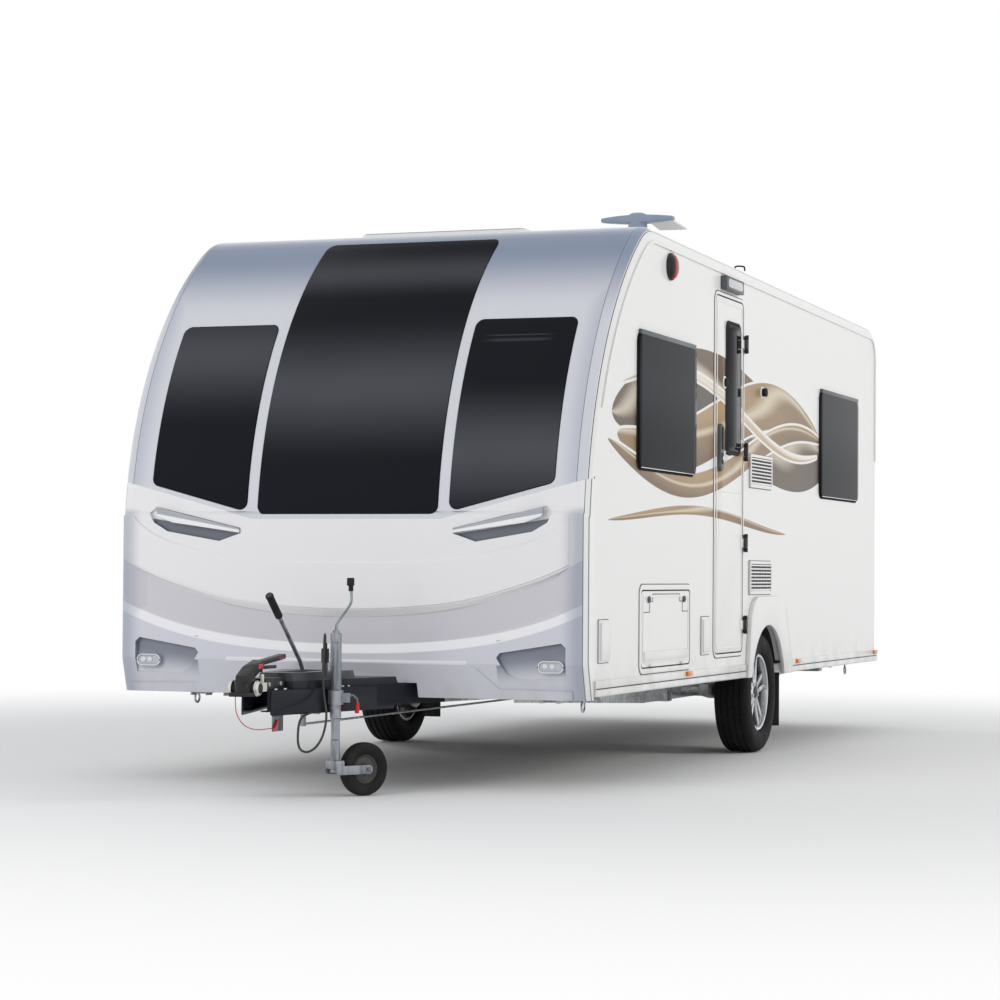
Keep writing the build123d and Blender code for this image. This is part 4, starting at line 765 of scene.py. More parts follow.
def plate(bm, place, width, height, corner, depth, round_edge=0.0, band=None):
    """Adds a rounded plate standing out by depth, or only a band along its outline."""
    part = bmesh.new()
    made = bmesh.ops.create_grid(part, x_segments=1, y_segments=1, size=0.5)["verts"]
    bmesh.ops.scale(part, vec=(width, height, 1.0), verts=made)
    bevel(part, made, corner, 5, "VERTICES")
    if band:
        bmesh.ops.inset_individual(part, faces=part.faces[:][-1:], thickness=band, depth=0.0)
        bmesh.ops.delete(part, geom=[f for f in part.faces if len(f.verts) > 4], context="FACES_ONLY")
    stand(bm, part, place, depth, round_edge)


def button(bm, place, radius, depth, steps=24, round_edge=0.0015):
    """Adds a round button whose foot is on the place's plane."""
    part = bmesh.new()
    bmesh.ops.create_circle(part, cap_ends=True, segments=steps, radius=radius)
    stand(bm, part, place, depth, round_edge)


def block(bm, low, high, width, place=None):
    """Adds a block between two corners, with rounded edges."""
    part = bmesh.new()
    bmesh.ops.create_cube(part, size=1.0)
    low, high = Vector(low), Vector(high)
    bmesh.ops.scale(part, vec=high - low, verts=part.verts)
    bmesh.ops.translate(part, vec=(low + high) / 2, verts=part.verts)
    bevel(part, part.edges[:], width, 2)
    join(bm, part, place)


def strip(bm, side, proud, back, heights, width):
    """Adds a block to a side wall: two distances from the wall, two behind the front and two heights."""
    low, high = ((side * (HALF + out), FRONT_Y + y, z) for out, y, z in zip(proud, back, heights))
    block(bm, low, high, width)


def surround(bm, side, opening, proud, grow, corner, band, depth, round_edge=0.0):
    """Adds a rounded frame to a side wall, larger than an opening by grow."""
    start, end, low, high = opening
    plate(bm, on_side(side, proud, FRONT_Y + (start + end) / 2, (low + high) / 2), end - start + grow,
          high - low + grow, corner, depth, round_edge, band)


def spline(name, points, radius, sides, steps):
    """A round curve that starts and ends on its control points, with its bends smooth."""
    curve = bpy.data.curves.new(name, "CURVE")
    curve.dimensions = "3D"
    curve.bevel_depth = radius
    curve.bevel_resolution = sides
    curve.use_fill_caps = True
    line = curve.splines.new("NURBS")
    line.points.add(len(points) - 1)
    for point, place in zip(line.points, points):
        point.co = (*place, 1.0)
    line.order_u = 3
    line.use_endpoint_u = True
    line.resolution_u = steps
    holder = bpy.data.objects.new(name, curve)
    bpy.context.collection.objects.link(holder)
    return holder


def rod(name, points, radius, look, body="chassis"):
    """A round rod along points, as a mesh."""
    holder = spline(name, points, radius, 4, 8)
    mesh = bpy.data.meshes.new_from_object(holder.evaluated_get(bpy.context.evaluated_depsgraph_get()))
    bpy.data.objects.remove(holder)
    bm = bmesh.new()
    bm.from_mesh(mesh)
    bpy.data.meshes.remove(mesh)
    return place_piece(name, bm, look, body)


def cord(name, points, diameter, look):
    """A cord as one smooth spline through its route's control points."""
    piece = spline(name, points, diameter / 2, 6, 12)
    piece.data.materials.append(look())
    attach(piece, "chassis")
    return piece


# ---------------------------------------------------------------- cords
# the routes repeat the part's own, in metres
LEAD_ROUTE = (
    (0.130, -3.080, 0.364), (0.130, -3.125, 0.364), (0.131, -3.180, 0.358), (0.136, -3.240, 0.350),
    (0.148, -3.295, 0.325), (0.162, -3.335, 0.285), (0.176, -3.365, 0.246), (0.198, -3.386, 0.219),
    (0.232, -3.391, 0.212), (0.262, -3.375, 0.232), (0.275, -3.342, 0.270), (0.273, -3.305, 0.314),
    (0.258, -3.260, 0.347), (0.238, -3.215, 0.372), (0.213, -3.168, 0.396), (0.188, -3.125, 0.428),
    (0.171, -3.097, 0.470), (0.163, -3.083, 0.520), (0.159, -3.072, 0.575), (0.154, -3.054, 0.630),
    (0.148, -3.037, 0.665), (0.138, -3.012, 0.689), (0.1275, -2.983, 0.695), (0.120, -2.963, 0.680),
    (0.120, -2.963, 0.655),
)
CABLE_ROUTE = (
    (-0.036, -3.525, 0.446), (-0.036, -3.525, 0.412), (-0.034, -3.518, 0.372), (-0.026, -3.492, 0.336),
    (-0.010, -3.455, 0.311), (0.014, -3.410, 0.300), (0.042, -3.371, 0.305), (0.042, -3.330, 0.305),
)


# ---------------------------------------------------------------- settings
def colour_of(name, description, default):
    return bpy.props.FloatVectorProperty(name=name, description=description, subtype="COLOR", size=3, min=0.0,
                                         max=1.0, default=default)


class CaravanColours(bpy.types.PropertyGroup):
    """Paints and foils of the body."""

    body: colour_of("Body white", "Skin of the walls, rear and roof", (0.81, 0.81, 0.80))
    silver: colour_of("Front silver", "Metallic lacquer of the upper front", (0.60, 0.61, 0.665))
    # painted sky reflection on the metallic lacquer, steel blue at the top of the front
    brow_sky_reflection: colour_of("Brow blue", "Metallic lacquer at the top of the front", (0.100, 0.155, 0.270))
    gel: colour_of("Lower front grey", "Gel coat of the lower front moulding", (0.815, 0.810, 0.825))
    gold: colour_of("Gold foil", "Bright sweep of the side design", (0.43, 0.285, 0.140))
    bronze: colour_of("Bronze foil", "Dark sweep of the side design", (0.150, 0.096, 0.053))
    slate: colour_of("Slate foil", "Grey ground of the side design", (0.056, 0.050, 0.045))


class CaravanSizes(bpy.types.PropertyGroup):
    """Sizes of the fine detail."""

    tread_depth: bpy.props.FloatProperty(
        name="Tread depth", description="Depth of the tyres' main grooves", unit="LENGTH",
        min=0.002, max=0.012, default=0.007)
    seal_width: bpy.props.FloatProperty(
        name="Seal width", description="Rubber seal round the side windows", unit="LENGTH",
        min=0.003, max=0.02, default=0.008)


# ---------------------------------------------------------------- operators
class CARAVAN_OT_finishes(bpy.types.Operator):
    """Give every carried-over part its finish"""

    bl_idname = "caravan.finishes"
    bl_label = "Finish the Parts"

    def execute(self, context):
        for name, look in LOOKS.items():
            NODES[name].data.materials.clear()
            NODES[name].data.materials.append(look())
        return {"FINISHED"}


class CARAVAN_OT_soften(bpy.types.Operator):
    """Round the hard edges of moulded, cast and folded parts"""

    bl_idname = "caravan.soften"
    bl_label = "Round the Edges"

    WIDTHS = (
        (0.0035, ("body_windows", "drawbar_cover", "wheel_spats", "awning_light", "front_lamps",
                  "rear_bumper")),
        (0.0025, ("door_window", "coupling_head", "service_door", "door_leaf", "rear_lamps", "rooflights",
                  "grab_handles", "door_handle")),
        (0.0012, ("wall_vents", "side_skirts", "overrun_housing", "drawbar_frame", "chassis_rails", "axle",
                  "floor_brackets", "side_markers", "mudflaps", "steady_front_near", "steady_front_off",
                  "steady_rear_near", "steady_rear_off", "rim_nearside", "rim_offside")),
    )

    def execute(self, context):
        for width, names in self.WIDTHS:
            for name in names:
                soften(name, width)
        return {"FINISHED"}


class CARAVAN_OT_wheels(bpy.types.Operator):
    """Dress the road wheels with tread, hub caps and bolts"""

    bl_idname = "caravan.wheels"
    bl_label = "Dress the Wheels"

    # distance from the tyre's middle and radius, from the bead to the shoulder
    SIDEWALL = ((-0.0795, 0.211), (-0.0925, 0.226), (-0.0965, 0.252), (-0.0972, 0.268), (-0.0962, 0.285),
                (-0.0925, 0.300), (-0.0860, 0.3105), (-0.0775, 0.3175), (-0.0700, 0.3205))
    GROOVES = (-0.0500, -0.0180)
    CROWN_RISE = 0.055
    LIP = ((0.070, 0.192), (0.075, 0.196), (0.077, 0.203), (0.074, 0.2085), (0.068, 0.209), (0.066, 0.200))
    CAP = ((0.051, 0.034), (0.055, 0.034), (0.059, 0.031), (0.061, 0.0))

    def execute(self, context):
        profile = self.tyre_profile(context.scene.caravan_sizes.tread_depth)
        for name, (side, body) in WHEELS.items():
            where = (side * HALF_TRACK, AXLE_Y, TYRE_R), (side, 0, 0)
            tyre = lathe(f"tyre_{name}_tread", profile, *where, tyre_rubber, body, 120, smooth_angle=40.0)
            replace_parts(tyre, f"tyre_{name}")
            lathe(f"hub_cap_{name}", self.CAP, *where, black_plastic, body, 40)
            lathe(f"rim_lip_{name}", self.LIP, *where, alloy, body, 96)
            bolts = bmesh.new()
            for turn in range(5):
                angle = math.radians(90 + 36 + 72 * turn)
                y, z = AXLE_Y + BOLT_CIRCLE * math.cos(angle), TYRE_R + BOLT_CIRCLE * math.sin(angle)
                button(bolts, on_side(side, RIM_FACE - 0.0005 - HALF, y, z), 0.0105, 0.007, 6)
            place_piece(f"wheel_bolts_{name}", bolts, galvanised, body)
        return {"FINISHED"}

    def tyre_profile(self, depth):
        """Both sidewalls, with the grooves between them cut in a crown that rises to the middle."""
        half = list(self.SIDEWALL)
        edge, shoulder = half[-1]
        for groove in self.GROOVES:
            crown = shoulder + (groove - edge) * self.CROWN_RISE
            half += [(groove - 0.0055, crown), (groove - 0.0040, crown - depth),
                     (groove + 0.0040, crown - depth), (groove + 0.0055, crown)]
        return both_ends(half, (0.0, 0.3247))


class CARAVAN_OT_side_trim(bpy.types.Operator):
    """Fit seals, frames and hinge rails round the side windows, the vents, the lids and the door, with
    painted shadow lines, painted shade in slots and grooves, and painted highlights under the windows
    """

    bl_idname = "caravan.side_trim"
    bl_label = "Trim the Sides"

    # side, and its start, end, low and high: two distances behind the front and two heights
    WINDOWS = ((1, (0.740, 1.705, 1.450, 2.077)), (1, (4.400, 5.420, 1.425, 2.046)),
               (-1, (0.740, 1.705, 1.450, 2.077)), (-1, (2.300, 3.200, 1.450, 2.000)),
               (-1, (4.400, 5.420, 1.425, 2.046)))
    LIDS = (("locker", 1, (0.815, 1.635, 0.522, 0.888)), ("cassette", -1, (4.930, 5.315, 0.560, 0.905)),
            ("service", -1, (3.760, 4.180, 0.640, 0.900)))
    DOOR = (2.090, 2.645, 0.556, 2.396)
    DOOR_GLASS = (2.284, 2.581, 1.584, 2.278)
    VENTS = ((2.783, 3.248, 1.430, 1.608), (2.783, 3.248, 0.859, 1.037))
    COVERS = ((0.174, 0.322, 0.568, 0.756), (1.846, 1.994, 0.562, 0.750))
    SKIRTS = ((0.128, 2.706), (3.704, 6.010))
    # the locker lid's groove round one lock: two distances from the lid's middle and two heights
    LOCKER_GROOVE = ((0.275, 0.385, 0.781, 0.785), (0.225, 0.229, 0.832, 0.869), (0.273, 0.277, 0.783, 0.832),
                     (0.225, 0.276, 0.831, 0.835))
    # body, distance behind the front, distance from the wall and reach
    CATCHES = {"door": ("door", 2.261, 0.003, 0.018), "wall": ("chassis", 3.045, 0.0, 0.029)}
    CATCH_Z = 1.952
    CATCH_ROSE = ((0.0, 0.034), (0.002, 0.034), (0.005, 0.031), (0.006, 0.023))

    def execute(self, context):
        self.trim_windows(context.scene.caravan_sizes.seal_width)
        self.trim_vents()
        self.trim_lids()
        self.trim_door()
        self.fit_catches()
        return {"FINISHED"}

    def trim_windows(self, seal):
        seals, rails, lines = bmesh.new(), bmesh.new(), bmesh.new()
        for side, opening in self.WINDOWS:
            start, end, low, high = opening
            surround(seals, side, opening, 0.0, 0.016, 0.052, seal, 0.004, 0.0015)
            strip(rails, side, (0.0, 0.017), (start + 0.020, end - 0.020), (high - 0.004, high + 0.020),
                  0.004)
            # painted highlight: a thin light strip along each window's lower edge
            strip(lines, side, (0.0125, 0.0150), (start + 0.030, end - 0.030), (low + 0.003, low + 0.0075),
                  0.001)
        place_piece("window_seals", seals, rubber)
        place_piece("window_hinge_rails", rails, grey_plastic)
        place_piece("window_edge_highlights", lines, bright_metal)

    def trim_vents(self):
        slots, seals, groove = bmesh.new(), bmesh.new(), bmesh.new()
        rim, rows, columns = 0.015, 8, 7
        for opening in self.VENTS:
            start, end, low, high = opening
            step, share = (high - low - 2 * rim) / rows, (end - start - 2 * rim) / columns
            for row in range(rows):
                z = min(low + rim + (row + 1.0) * step + 0.001, high - rim - 0.006)
                for column in range(columns):
                    # painted shade: a dark plate in each slot between the louvres
                    place = on_side(1, 0.003, FRONT_Y + start + rim + (column + 0.5) * share, z)
                    plate(slots, place, share - 0.009, 0.0085, 0.003, 0.0058)
            # painted shadow line: a thin dark ring round the vent
            surround(seals, 1, opening, 0.0, 0.008, 0.006, 0.004, 0.0012)
        for opening in self.COVERS:
            # painted shadow line: a thin dark ring round the service cover
            surround(seals, 1, opening, 0.0, 0.008, 0.006, 0.005, 0.0015)
        # painted shade: a thin dark strip in the fold along each skirt
        for side in (1, -1):
            for back in self.SKIRTS:
                strip(groove, side, (0.0065, 0.0085), back, (0.4515, 0.4545), 0.0005)
        place_piece("vent_slot_shade", slots, black_plastic)
        place_piece("fitting_shadow_lines", seals, grey_plastic)
        place_piece("skirt_fold_shade", groove, rubber)

    def trim_lids(self):
        frames, seals = bmesh.new(), bmesh.new()
        for name, side, opening in self.LIDS:
            start, end, low, high = opening
            surround(frames, side, opening, 0.0, 0.050, 0.045, 0.025, 0.005, 0.002)
            surround(seals, side, opening, -0.006, 0.001, 0.031, 0.005, 0.0095)
            # painted shadow line: a thin dark ring just outside the frame; the ring above it is the seal in
            # the lid's gap
            surround(seals, side, opening, 0.0, 0.057, 0.048, 0.005, 0.0015)
            edge, locks = bmesh.new(), bmesh.new()
            surround(edge, side, opening, 0.003, -0.050, 0.022, 0.010, 0.003, 0.0012)
            place_piece(f"{name}_panel_edge", edge, skin_white, f"{name}_lid")
            lock_z = low + 0.045 if name == "service" else high - 0.045
            for share in (-0.36, 0.36):
                y = FRONT_Y + (start + end) / 2 + share * (end - start)
                button(locks, on_side(side, 0.003, y, lock_z), 0.016, 0.009)
                button(locks, on_side(side, 0.010, y, lock_z), 0.009, 0.005)
            place_piece(f"{name}_locks", locks, grey_plastic, f"{name}_lid")
        self.trim_locker()
        place_piece("lid_frames", frames, white_moulding)
        place_piece("lid_seals_and_shadow_lines", seals, rubber)

    def trim_locker(self):
        """The locker lid's notched groove round its two locks, as dark strips of painted shade, and its sill.
        """
        groove, sill = bmesh.new(), bmesh.new()
        middle = 1.225
        # painted shade: dark strips along the groove
        strip(groove, 1, (0.0028, 0.0048), (middle - 0.225, middle + 0.225), (0.866, 0.870), 0.0006)
        for near, far, low, high in self.LOCKER_GROOVE:
            for back in ((middle - far, middle - near), (middle + near, middle + far)):
                strip(groove, 1, (0.0028, 0.0048), back, (low, high), 0.0006)
        strip(sill, 1, (0.001, 0.011), (middle - 0.373, middle + 0.373), (0.556, 0.600), 0.0045)
        place_piece("locker_groove_shade", groove, grey_plastic, "locker_lid")
        place_piece("locker_sill", sill, white_moulding, "locker_lid")

    def trim_door(self):
        start, end = self.DOOR[:2]
        seal, frame_edge, panel, glass, grip, lock = (bmesh.new() for _ in range(6))
        surround(seal, 1, self.DOOR, -0.004, 0.001, 0.041, 0.0055, 0.0075)
        # painted shadow line: a thin dark ring just outside the frame edge; the ring above it is the seal in
        # the door's gap
        surround(seal, 1, self.DOOR, 0.0, 0.042, 0.060, 0.005, 0.0015)
        surround(frame_edge, 1, self.DOOR, 0.0, 0.034, 0.057, 0.017, 0.004, 0.0015)
        surround(panel, 1, self.DOOR, 0.003, -0.050, 0.034, 0.010, 0.0025, 0.001)
        strip(panel, 1, (0.0025, 0.0055), (start + 0.030, end - 0.030), (1.386, 1.394), 0.0012)
        surround(glass, 1, self.DOOR_GLASS, 0.003, 0.0, 0.048, 0.016, 0.005, 0.002)
        grip_y = FRONT_Y + 2.152
        plate(grip, on_side(1, 0.0245, grip_y, 1.660), 0.034, 0.118, 0.016, 0.006, 0.003)
        plate(grip, on_side(1, 0.0245, grip_y, 1.556), 0.040, 0.060, 0.019, 0.004, 0.002)
        button(lock, on_side(1, 0.028, grip_y, 1.556), 0.011, 0.004)
        place_piece("door_seal_and_shadow_line", seal, rubber)
        place_piece("door_frame_edge", frame_edge, white_moulding)
        place_piece("door_panel_edge", panel, skin_white, "door")
        place_piece("door_glass_frame", glass, rubber, "door")
        place_piece("door_grip", grip, black_plastic, "door")
        place_piece("door_lock", lock, bright_metal, "door")

    def fit_catches(self):
        """The two halves of the door's catch, on the door and on the wall behind it."""
        for name, (body, back, proud, reach) in self.CATCHES.items():
            where = (HALF + proud, FRONT_Y + back, self.CATCH_Z), (1, 0, 0)
            pin = ((0.004, 0.0225), (reach - 0.008, 0.0225), (reach - 0.004, 0.0245), (reach, 0.022),
                   (reach + 0.002, 0.0))
            lathe(f"{name}_catch_rose", self.CATCH_ROSE, *where, white_moulding, body, 40)
            lathe(f"{name}_catch_pin", pin, *where, rubber, body, 40)


class CARAVAN_OT_lamps(bpy.types.Operator):
    """Fit the beacon's dome, the lamps' lenses and bezels, and the blank plate"""

    bl_idname = "caravan.lamps"
    bl_label = "Fit the Lamps"

    BEACON_RIM = ((0.0, 0.063), (0.003, 0.066), (0.011, 0.066), (0.014, 0.064), (0.014, 0.058))
    BEACON_DOME = ((0.0, 0.0), (0.0, 0.060), (0.018, 0.060), (0.025, 0.056), (0.031, 0.048), (0.036, 0.036),
                   (0.039, 0.020), (0.040, 0.0))
    REAR_RING = ((0.0, 0.062), (0.001, 0.0655), (0.012, 0.0655), (0.0145, 0.062), (0.0145, 0.058),
                 (0.012, 0.0565))

    def execute(self, context):
        where = (HALF, FRONT_Y + 1.270, 2.440), (1, 0, 0)
        lathe("beacon_rim", self.BEACON_RIM, *where, black_plastic)
        dome = lathe("beacon_lens", self.BEACON_DOME, *where, beacon_lens, smooth_angle=60.0)
        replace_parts(dome, "alarm_beacon")
        awning = bmesh.new()
        plate(awning, on_side(1, 0.033, FRONT_Y + 2.360, 2.463), 0.280, 0.044, 0.020, 0.004, 0.0015)
        place_piece("awning_lens", awning, lens_clear)
        self.front_lamps()
        self.rear_lamps()
        return {"FINISHED"}

    def front_lamps(self):
        bezels, reflectors = bmesh.new(), bmesh.new()
        for side in (1, -1):
            place = facing((0, -1, 0), (side * LAMP_X, FRONT_Y + 0.003, 0.551))
            plate(bezels, place, 0.122, 0.056, 0.0278, 0.005, 0.002, band=0.007)
            for shift in (-0.026, 0.006):
                place = facing((0, -1, 0), (side * LAMP_X + shift, FRONT_Y + 0.0035, 0.553))
                button(reflectors, place, 0.013, 0.003)
        place_piece("lamp_bezels", bezels, bright_metal)
        place_piece("lamp_reflectors", reflectors, bright_metal)

    def rear_lamps(self):
        centres, sheet = bmesh.new(), bmesh.new()
        for side, hand in ((1, "near"), (-1, "off")):
            for z in (0.785, 0.955, 1.135):
                name = f"rear_ring_{hand}_{round(z * 1000)}"
                lathe(name, self.REAR_RING, (side * LAMP_X, 3.567, z), (0, 1, 0), white_moulding, steps=48)
                button(centres, facing((0, 1, 0), (side * LAMP_X, 3.584, z)), 0.020, 0.004)
        plate(sheet, facing((0, 1, 0), (0.0, 3.584, 0.535)), 0.520, 0.111, 0.008, 0.003, 0.001)
        place_piece("rear_lamp_centres", centres, lens_clear)
        place_piece("blank_plate", sheet, plate_yellow)


class CARAVAN_OT_drawbar(bpy.types.Operator):
    """Dress the coupling, the drawbar's members and the jockey"""

    bl_idname = "caravan.drawbar"
    bl_label = "Dress the Drawbar"

    FRICTION_PAD = ((0.0505, 0.0300), (0.0520, 0.0325), (0.0560, 0.0325), (0.0575, 0.0300), (0.0575, 0.0290),
                    (0.0600, 0.0300), (0.0650, 0.0290), (0.0690, 0.0240), (0.0695, 0.0130), (0.0670, 0.0100),
                    (0.0670, 0.0))
    SLEEVE = ((0.047, -3.331, 0.298), (0.049, -3.322, 0.304), (0.050, -3.306, 0.318), (0.050, -3.296, 0.338))
    # the jockey's tyre and hub, from one side to the middle
    JOCKEY_TYRE = ((-0.016, 0.062), (-0.022, 0.068), (-0.0275, 0.080), (-0.0295, 0.094), (-0.027, 0.106),
                   (-0.019, 0.113), (-0.006, 0.1149))
    JOCKEY_WEB = ((-0.029, 0.009), (-0.029, 0.022), (-0.010, 0.026), (-0.006, 0.050), (-0.016, 0.0625))
    JOCKEY_TUBES = ((0.245, 0.0), (0.245, 0.0165), (0.247, 0.0190), (0.333, 0.0190), (0.335, 0.0225),
                    (0.3365, 0.0240), (0.3720, 0.0240), (0.3735, 0.0230), (0.3765, 0.0230), (0.3780, 0.0240),
                    (0.6550, 0.0240), (0.6565, 0.0225), (0.6605, 0.0225), (0.6620, 0.0240), (0.6970, 0.0240),
                    (0.6995, 0.0215), (0.7000, 0.0150), (0.7110, 0.0145), (0.7125, 0.0110), (0.7125, 0.0))
    JOCKEY_CRANK = ((0.0, 0.705), (0.0, 0.728), (0.010, 0.744), (0.120, 0.799), (0.160, 0.828),
                    (0.166, 0.850), (0.158, 0.884))
    JOCKEY_FOOT = ((0.104, 0.0), (0.104, 0.0170), (0.107, 0.0200), (0.243, 0.0200), (0.243, 0.0))
    JOCKEY_PIN = ((-0.044, 0.0), (-0.044, 0.0080), (0.044, 0.0080), (0.044, 0.0))

    def execute(self, context):
        self.coupling()
        self.fairing()
        self.jockey_wheel()
        self.jockey_tubes()
        self.jockey_fork()
        self.bolts()
        return {"FINISHED"}

    def coupling(self):
        """The marks, pads and wear block of the head, the lever's grip and the cable's sleeve."""
        marks, block_up = bmesh.new(), bmesh.new()
        block(marks, (-0.017, BALL_Y + 0.300, 0.590), (0.017, BALL_Y + 0.352, 0.5955), 0.0015)
        block(marks, (-0.0265, BALL_Y + 0.075, 0.556), (-0.0255, BALL_Y + 0.120, 0.576), 0.0004)
        block(marks, (0.0255, BALL_Y + 0.075, 0.556), (0.0268, BALL_Y + 0.120, 0.576), 0.0004)
        place_piece("coupling_marks", marks, red_sleeve)
        for side, hand in ((1, "near"), (-1, "off")):
            where = (0, BALL_Y + 0.004, 0.478), (side, 0, 0)
            lathe(f"friction_pad_{hand}", self.FRICTION_PAD, *where, zinc, steps=48)
        block(block_up, (0.034, BALL_Y + 0.052, 0.462), (0.056, BALL_Y + 0.100, 0.500), 0.004)
        block(block_up, (0.040, BALL_Y + 0.060, 0.500), (0.052, BALL_Y + 0.078, 0.535), 0.004)
        place_piece("wear_indicator", block_up, cream_block)
        grip = [(0.0, 0.0), (0.0, 0.0140), (0.004, 0.0165)]
        for rib in range(11):
            start = 0.009 + rib * 0.0105
            grip += [(start, 0.0168), (start + 0.0025, 0.0155), (start + 0.0065, 0.0155)]
        grip += [(0.126, 0.0175), (0.137, 0.0175), (0.141, 0.0140), (0.1415, 0.0)]
        lathe("handbrake_grip", grip, (0.0, FRONT_Y - 0.698, 0.768), (0.0, -0.749, 0.663), rubber, steps=32)
        rod("breakaway_sleeve", self.SLEEVE, 0.0065, red_sleeve)

    def fairing(self):
        """Moulded side pieces over the drawbar's members, below the cover."""
        fairing = bmesh.new()
        tip_x, tip_back = MEMBER_TIP
        heading = math.atan(MEMBER_SPREAD)
        length, tall = 0.860, 0.104
        for side in (1, -1):
            along = Vector((side * math.sin(heading), math.cos(heading), 0.0))
            out = Vector((side * math.cos(heading), -math.sin(heading), 0.0))
            tip = Vector((side * (tip_x + 0.0005), FRONT_Y + tip_back, 0.412))
            middle = tip + along * (length / 2 + 0.012)
            plate(fairing, facing(out, middle), length, tall, 0.012, 0.0050, 0.0025)
        place_piece("drawbar_fairing", fairing, cover_navy)

    def jockey_wheel(self):
        tyre, web = both_ends(self.JOCKEY_TYRE), both_ends(self.JOCKEY_WEB)
        where = JOCKEY_HUB, JOCKEY_ACROSS
        lathe("jockey_tyre", [*tyre, tyre[0]], *where, rubber, "jockey_roller", 72)
        hub = lathe("jockey_hub", [*web, web[0]], *where, grey_hub, "jockey_roller", 48)
        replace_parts(hub, "jockey_wheel")

    def jockey_tubes(self):
        """The jockey's tubes, screw crank and square knob."""
        x, y, _ = JOCKEY_POST
        body = body_of_node("jockey_tube")
        tubes = lathe("jockey_post", self.JOCKEY_TUBES, JOCKEY_POST, (0, 0, 1), plain_steel, body, 56)
        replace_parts(tubes, "jockey_tube")
        rod("jockey_crank", [(x, y + reach, z) for reach, z in self.JOCKEY_CRANK], 0.006, plain_steel, body)
        knob = bmesh.new()
        button(knob, Matrix.Translation((x, y + 0.156, 0.878)), 0.0105, 0.026, round_edge=0.002)
        block(knob, (x - 0.0135, y + 0.139, 0.901), (x + 0.0135, y + 0.166, 0.936), 0.004)
        place_piece("jockey_knob", knob, rubber, body)

    def jockey_fork(self):
        """Two flat arms with round ends, their bridge, the tube's foot and the wheel's bolt."""
        body = body_of_node("jockey_fork")
        arms = bmesh.new()
        for side in (1, -1):
            out = JOCKEY_ACROSS * side
            middle = JOCKEY_POST + JOCKEY_ALONG * 0.072 + out * 0.038 + Vector((0.0, 0.0, 0.115))
            plate(arms, facing(out, middle), 0.192, 0.038, 0.0185, 0.006, 0.001)
            button(arms, facing(out, JOCKEY_HUB + out * 0.0435), 0.0125, 0.0065, 6, 0.001)
        block(arms, (-0.043, -0.021, 0.119), (0.043, 0.021, 0.158), 0.005,
              Matrix.Translation(JOCKEY_POST) @ Matrix.Rotation(-JOCKEY_HEADING, 4, "Z"))
        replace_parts(place_piece("jockey_arms", arms, plain_steel, body), "jockey_fork")
        lathe("jockey_foot", self.JOCKEY_FOOT, JOCKEY_POST, (0, 0, 1), plain_steel, body, 48)
        lathe("jockey_pin", self.JOCKEY_PIN, JOCKEY_HUB, JOCKEY_ACROSS, zinc, body, 32, slotted=False)

    def bolts(self):
        """Bolt heads on both sides of the overrun housing and on top of the members."""
        bolts = bmesh.new()
        tip_x, tip_back = MEMBER_TIP
        for side in (1, -1):
            for back in (-0.905, -0.790):
                place = facing((side, 0, 0), (side * 0.050, FRONT_Y + back, 0.490))
                button(bolts, place, 0.010, 0.006, 6, 0.001)
            for back in (-0.860, -0.800, -0.420, -0.380):
                x = tip_x + MEMBER_SPREAD * (back - tip_back) - 0.0170
                place = Matrix.Translation((side * x, FRONT_Y + back, 0.466))
                button(bolts, place, 0.009, 0.0055, 6, 0.001)
        place_piece("drawbar_bolts", bolts, zinc)


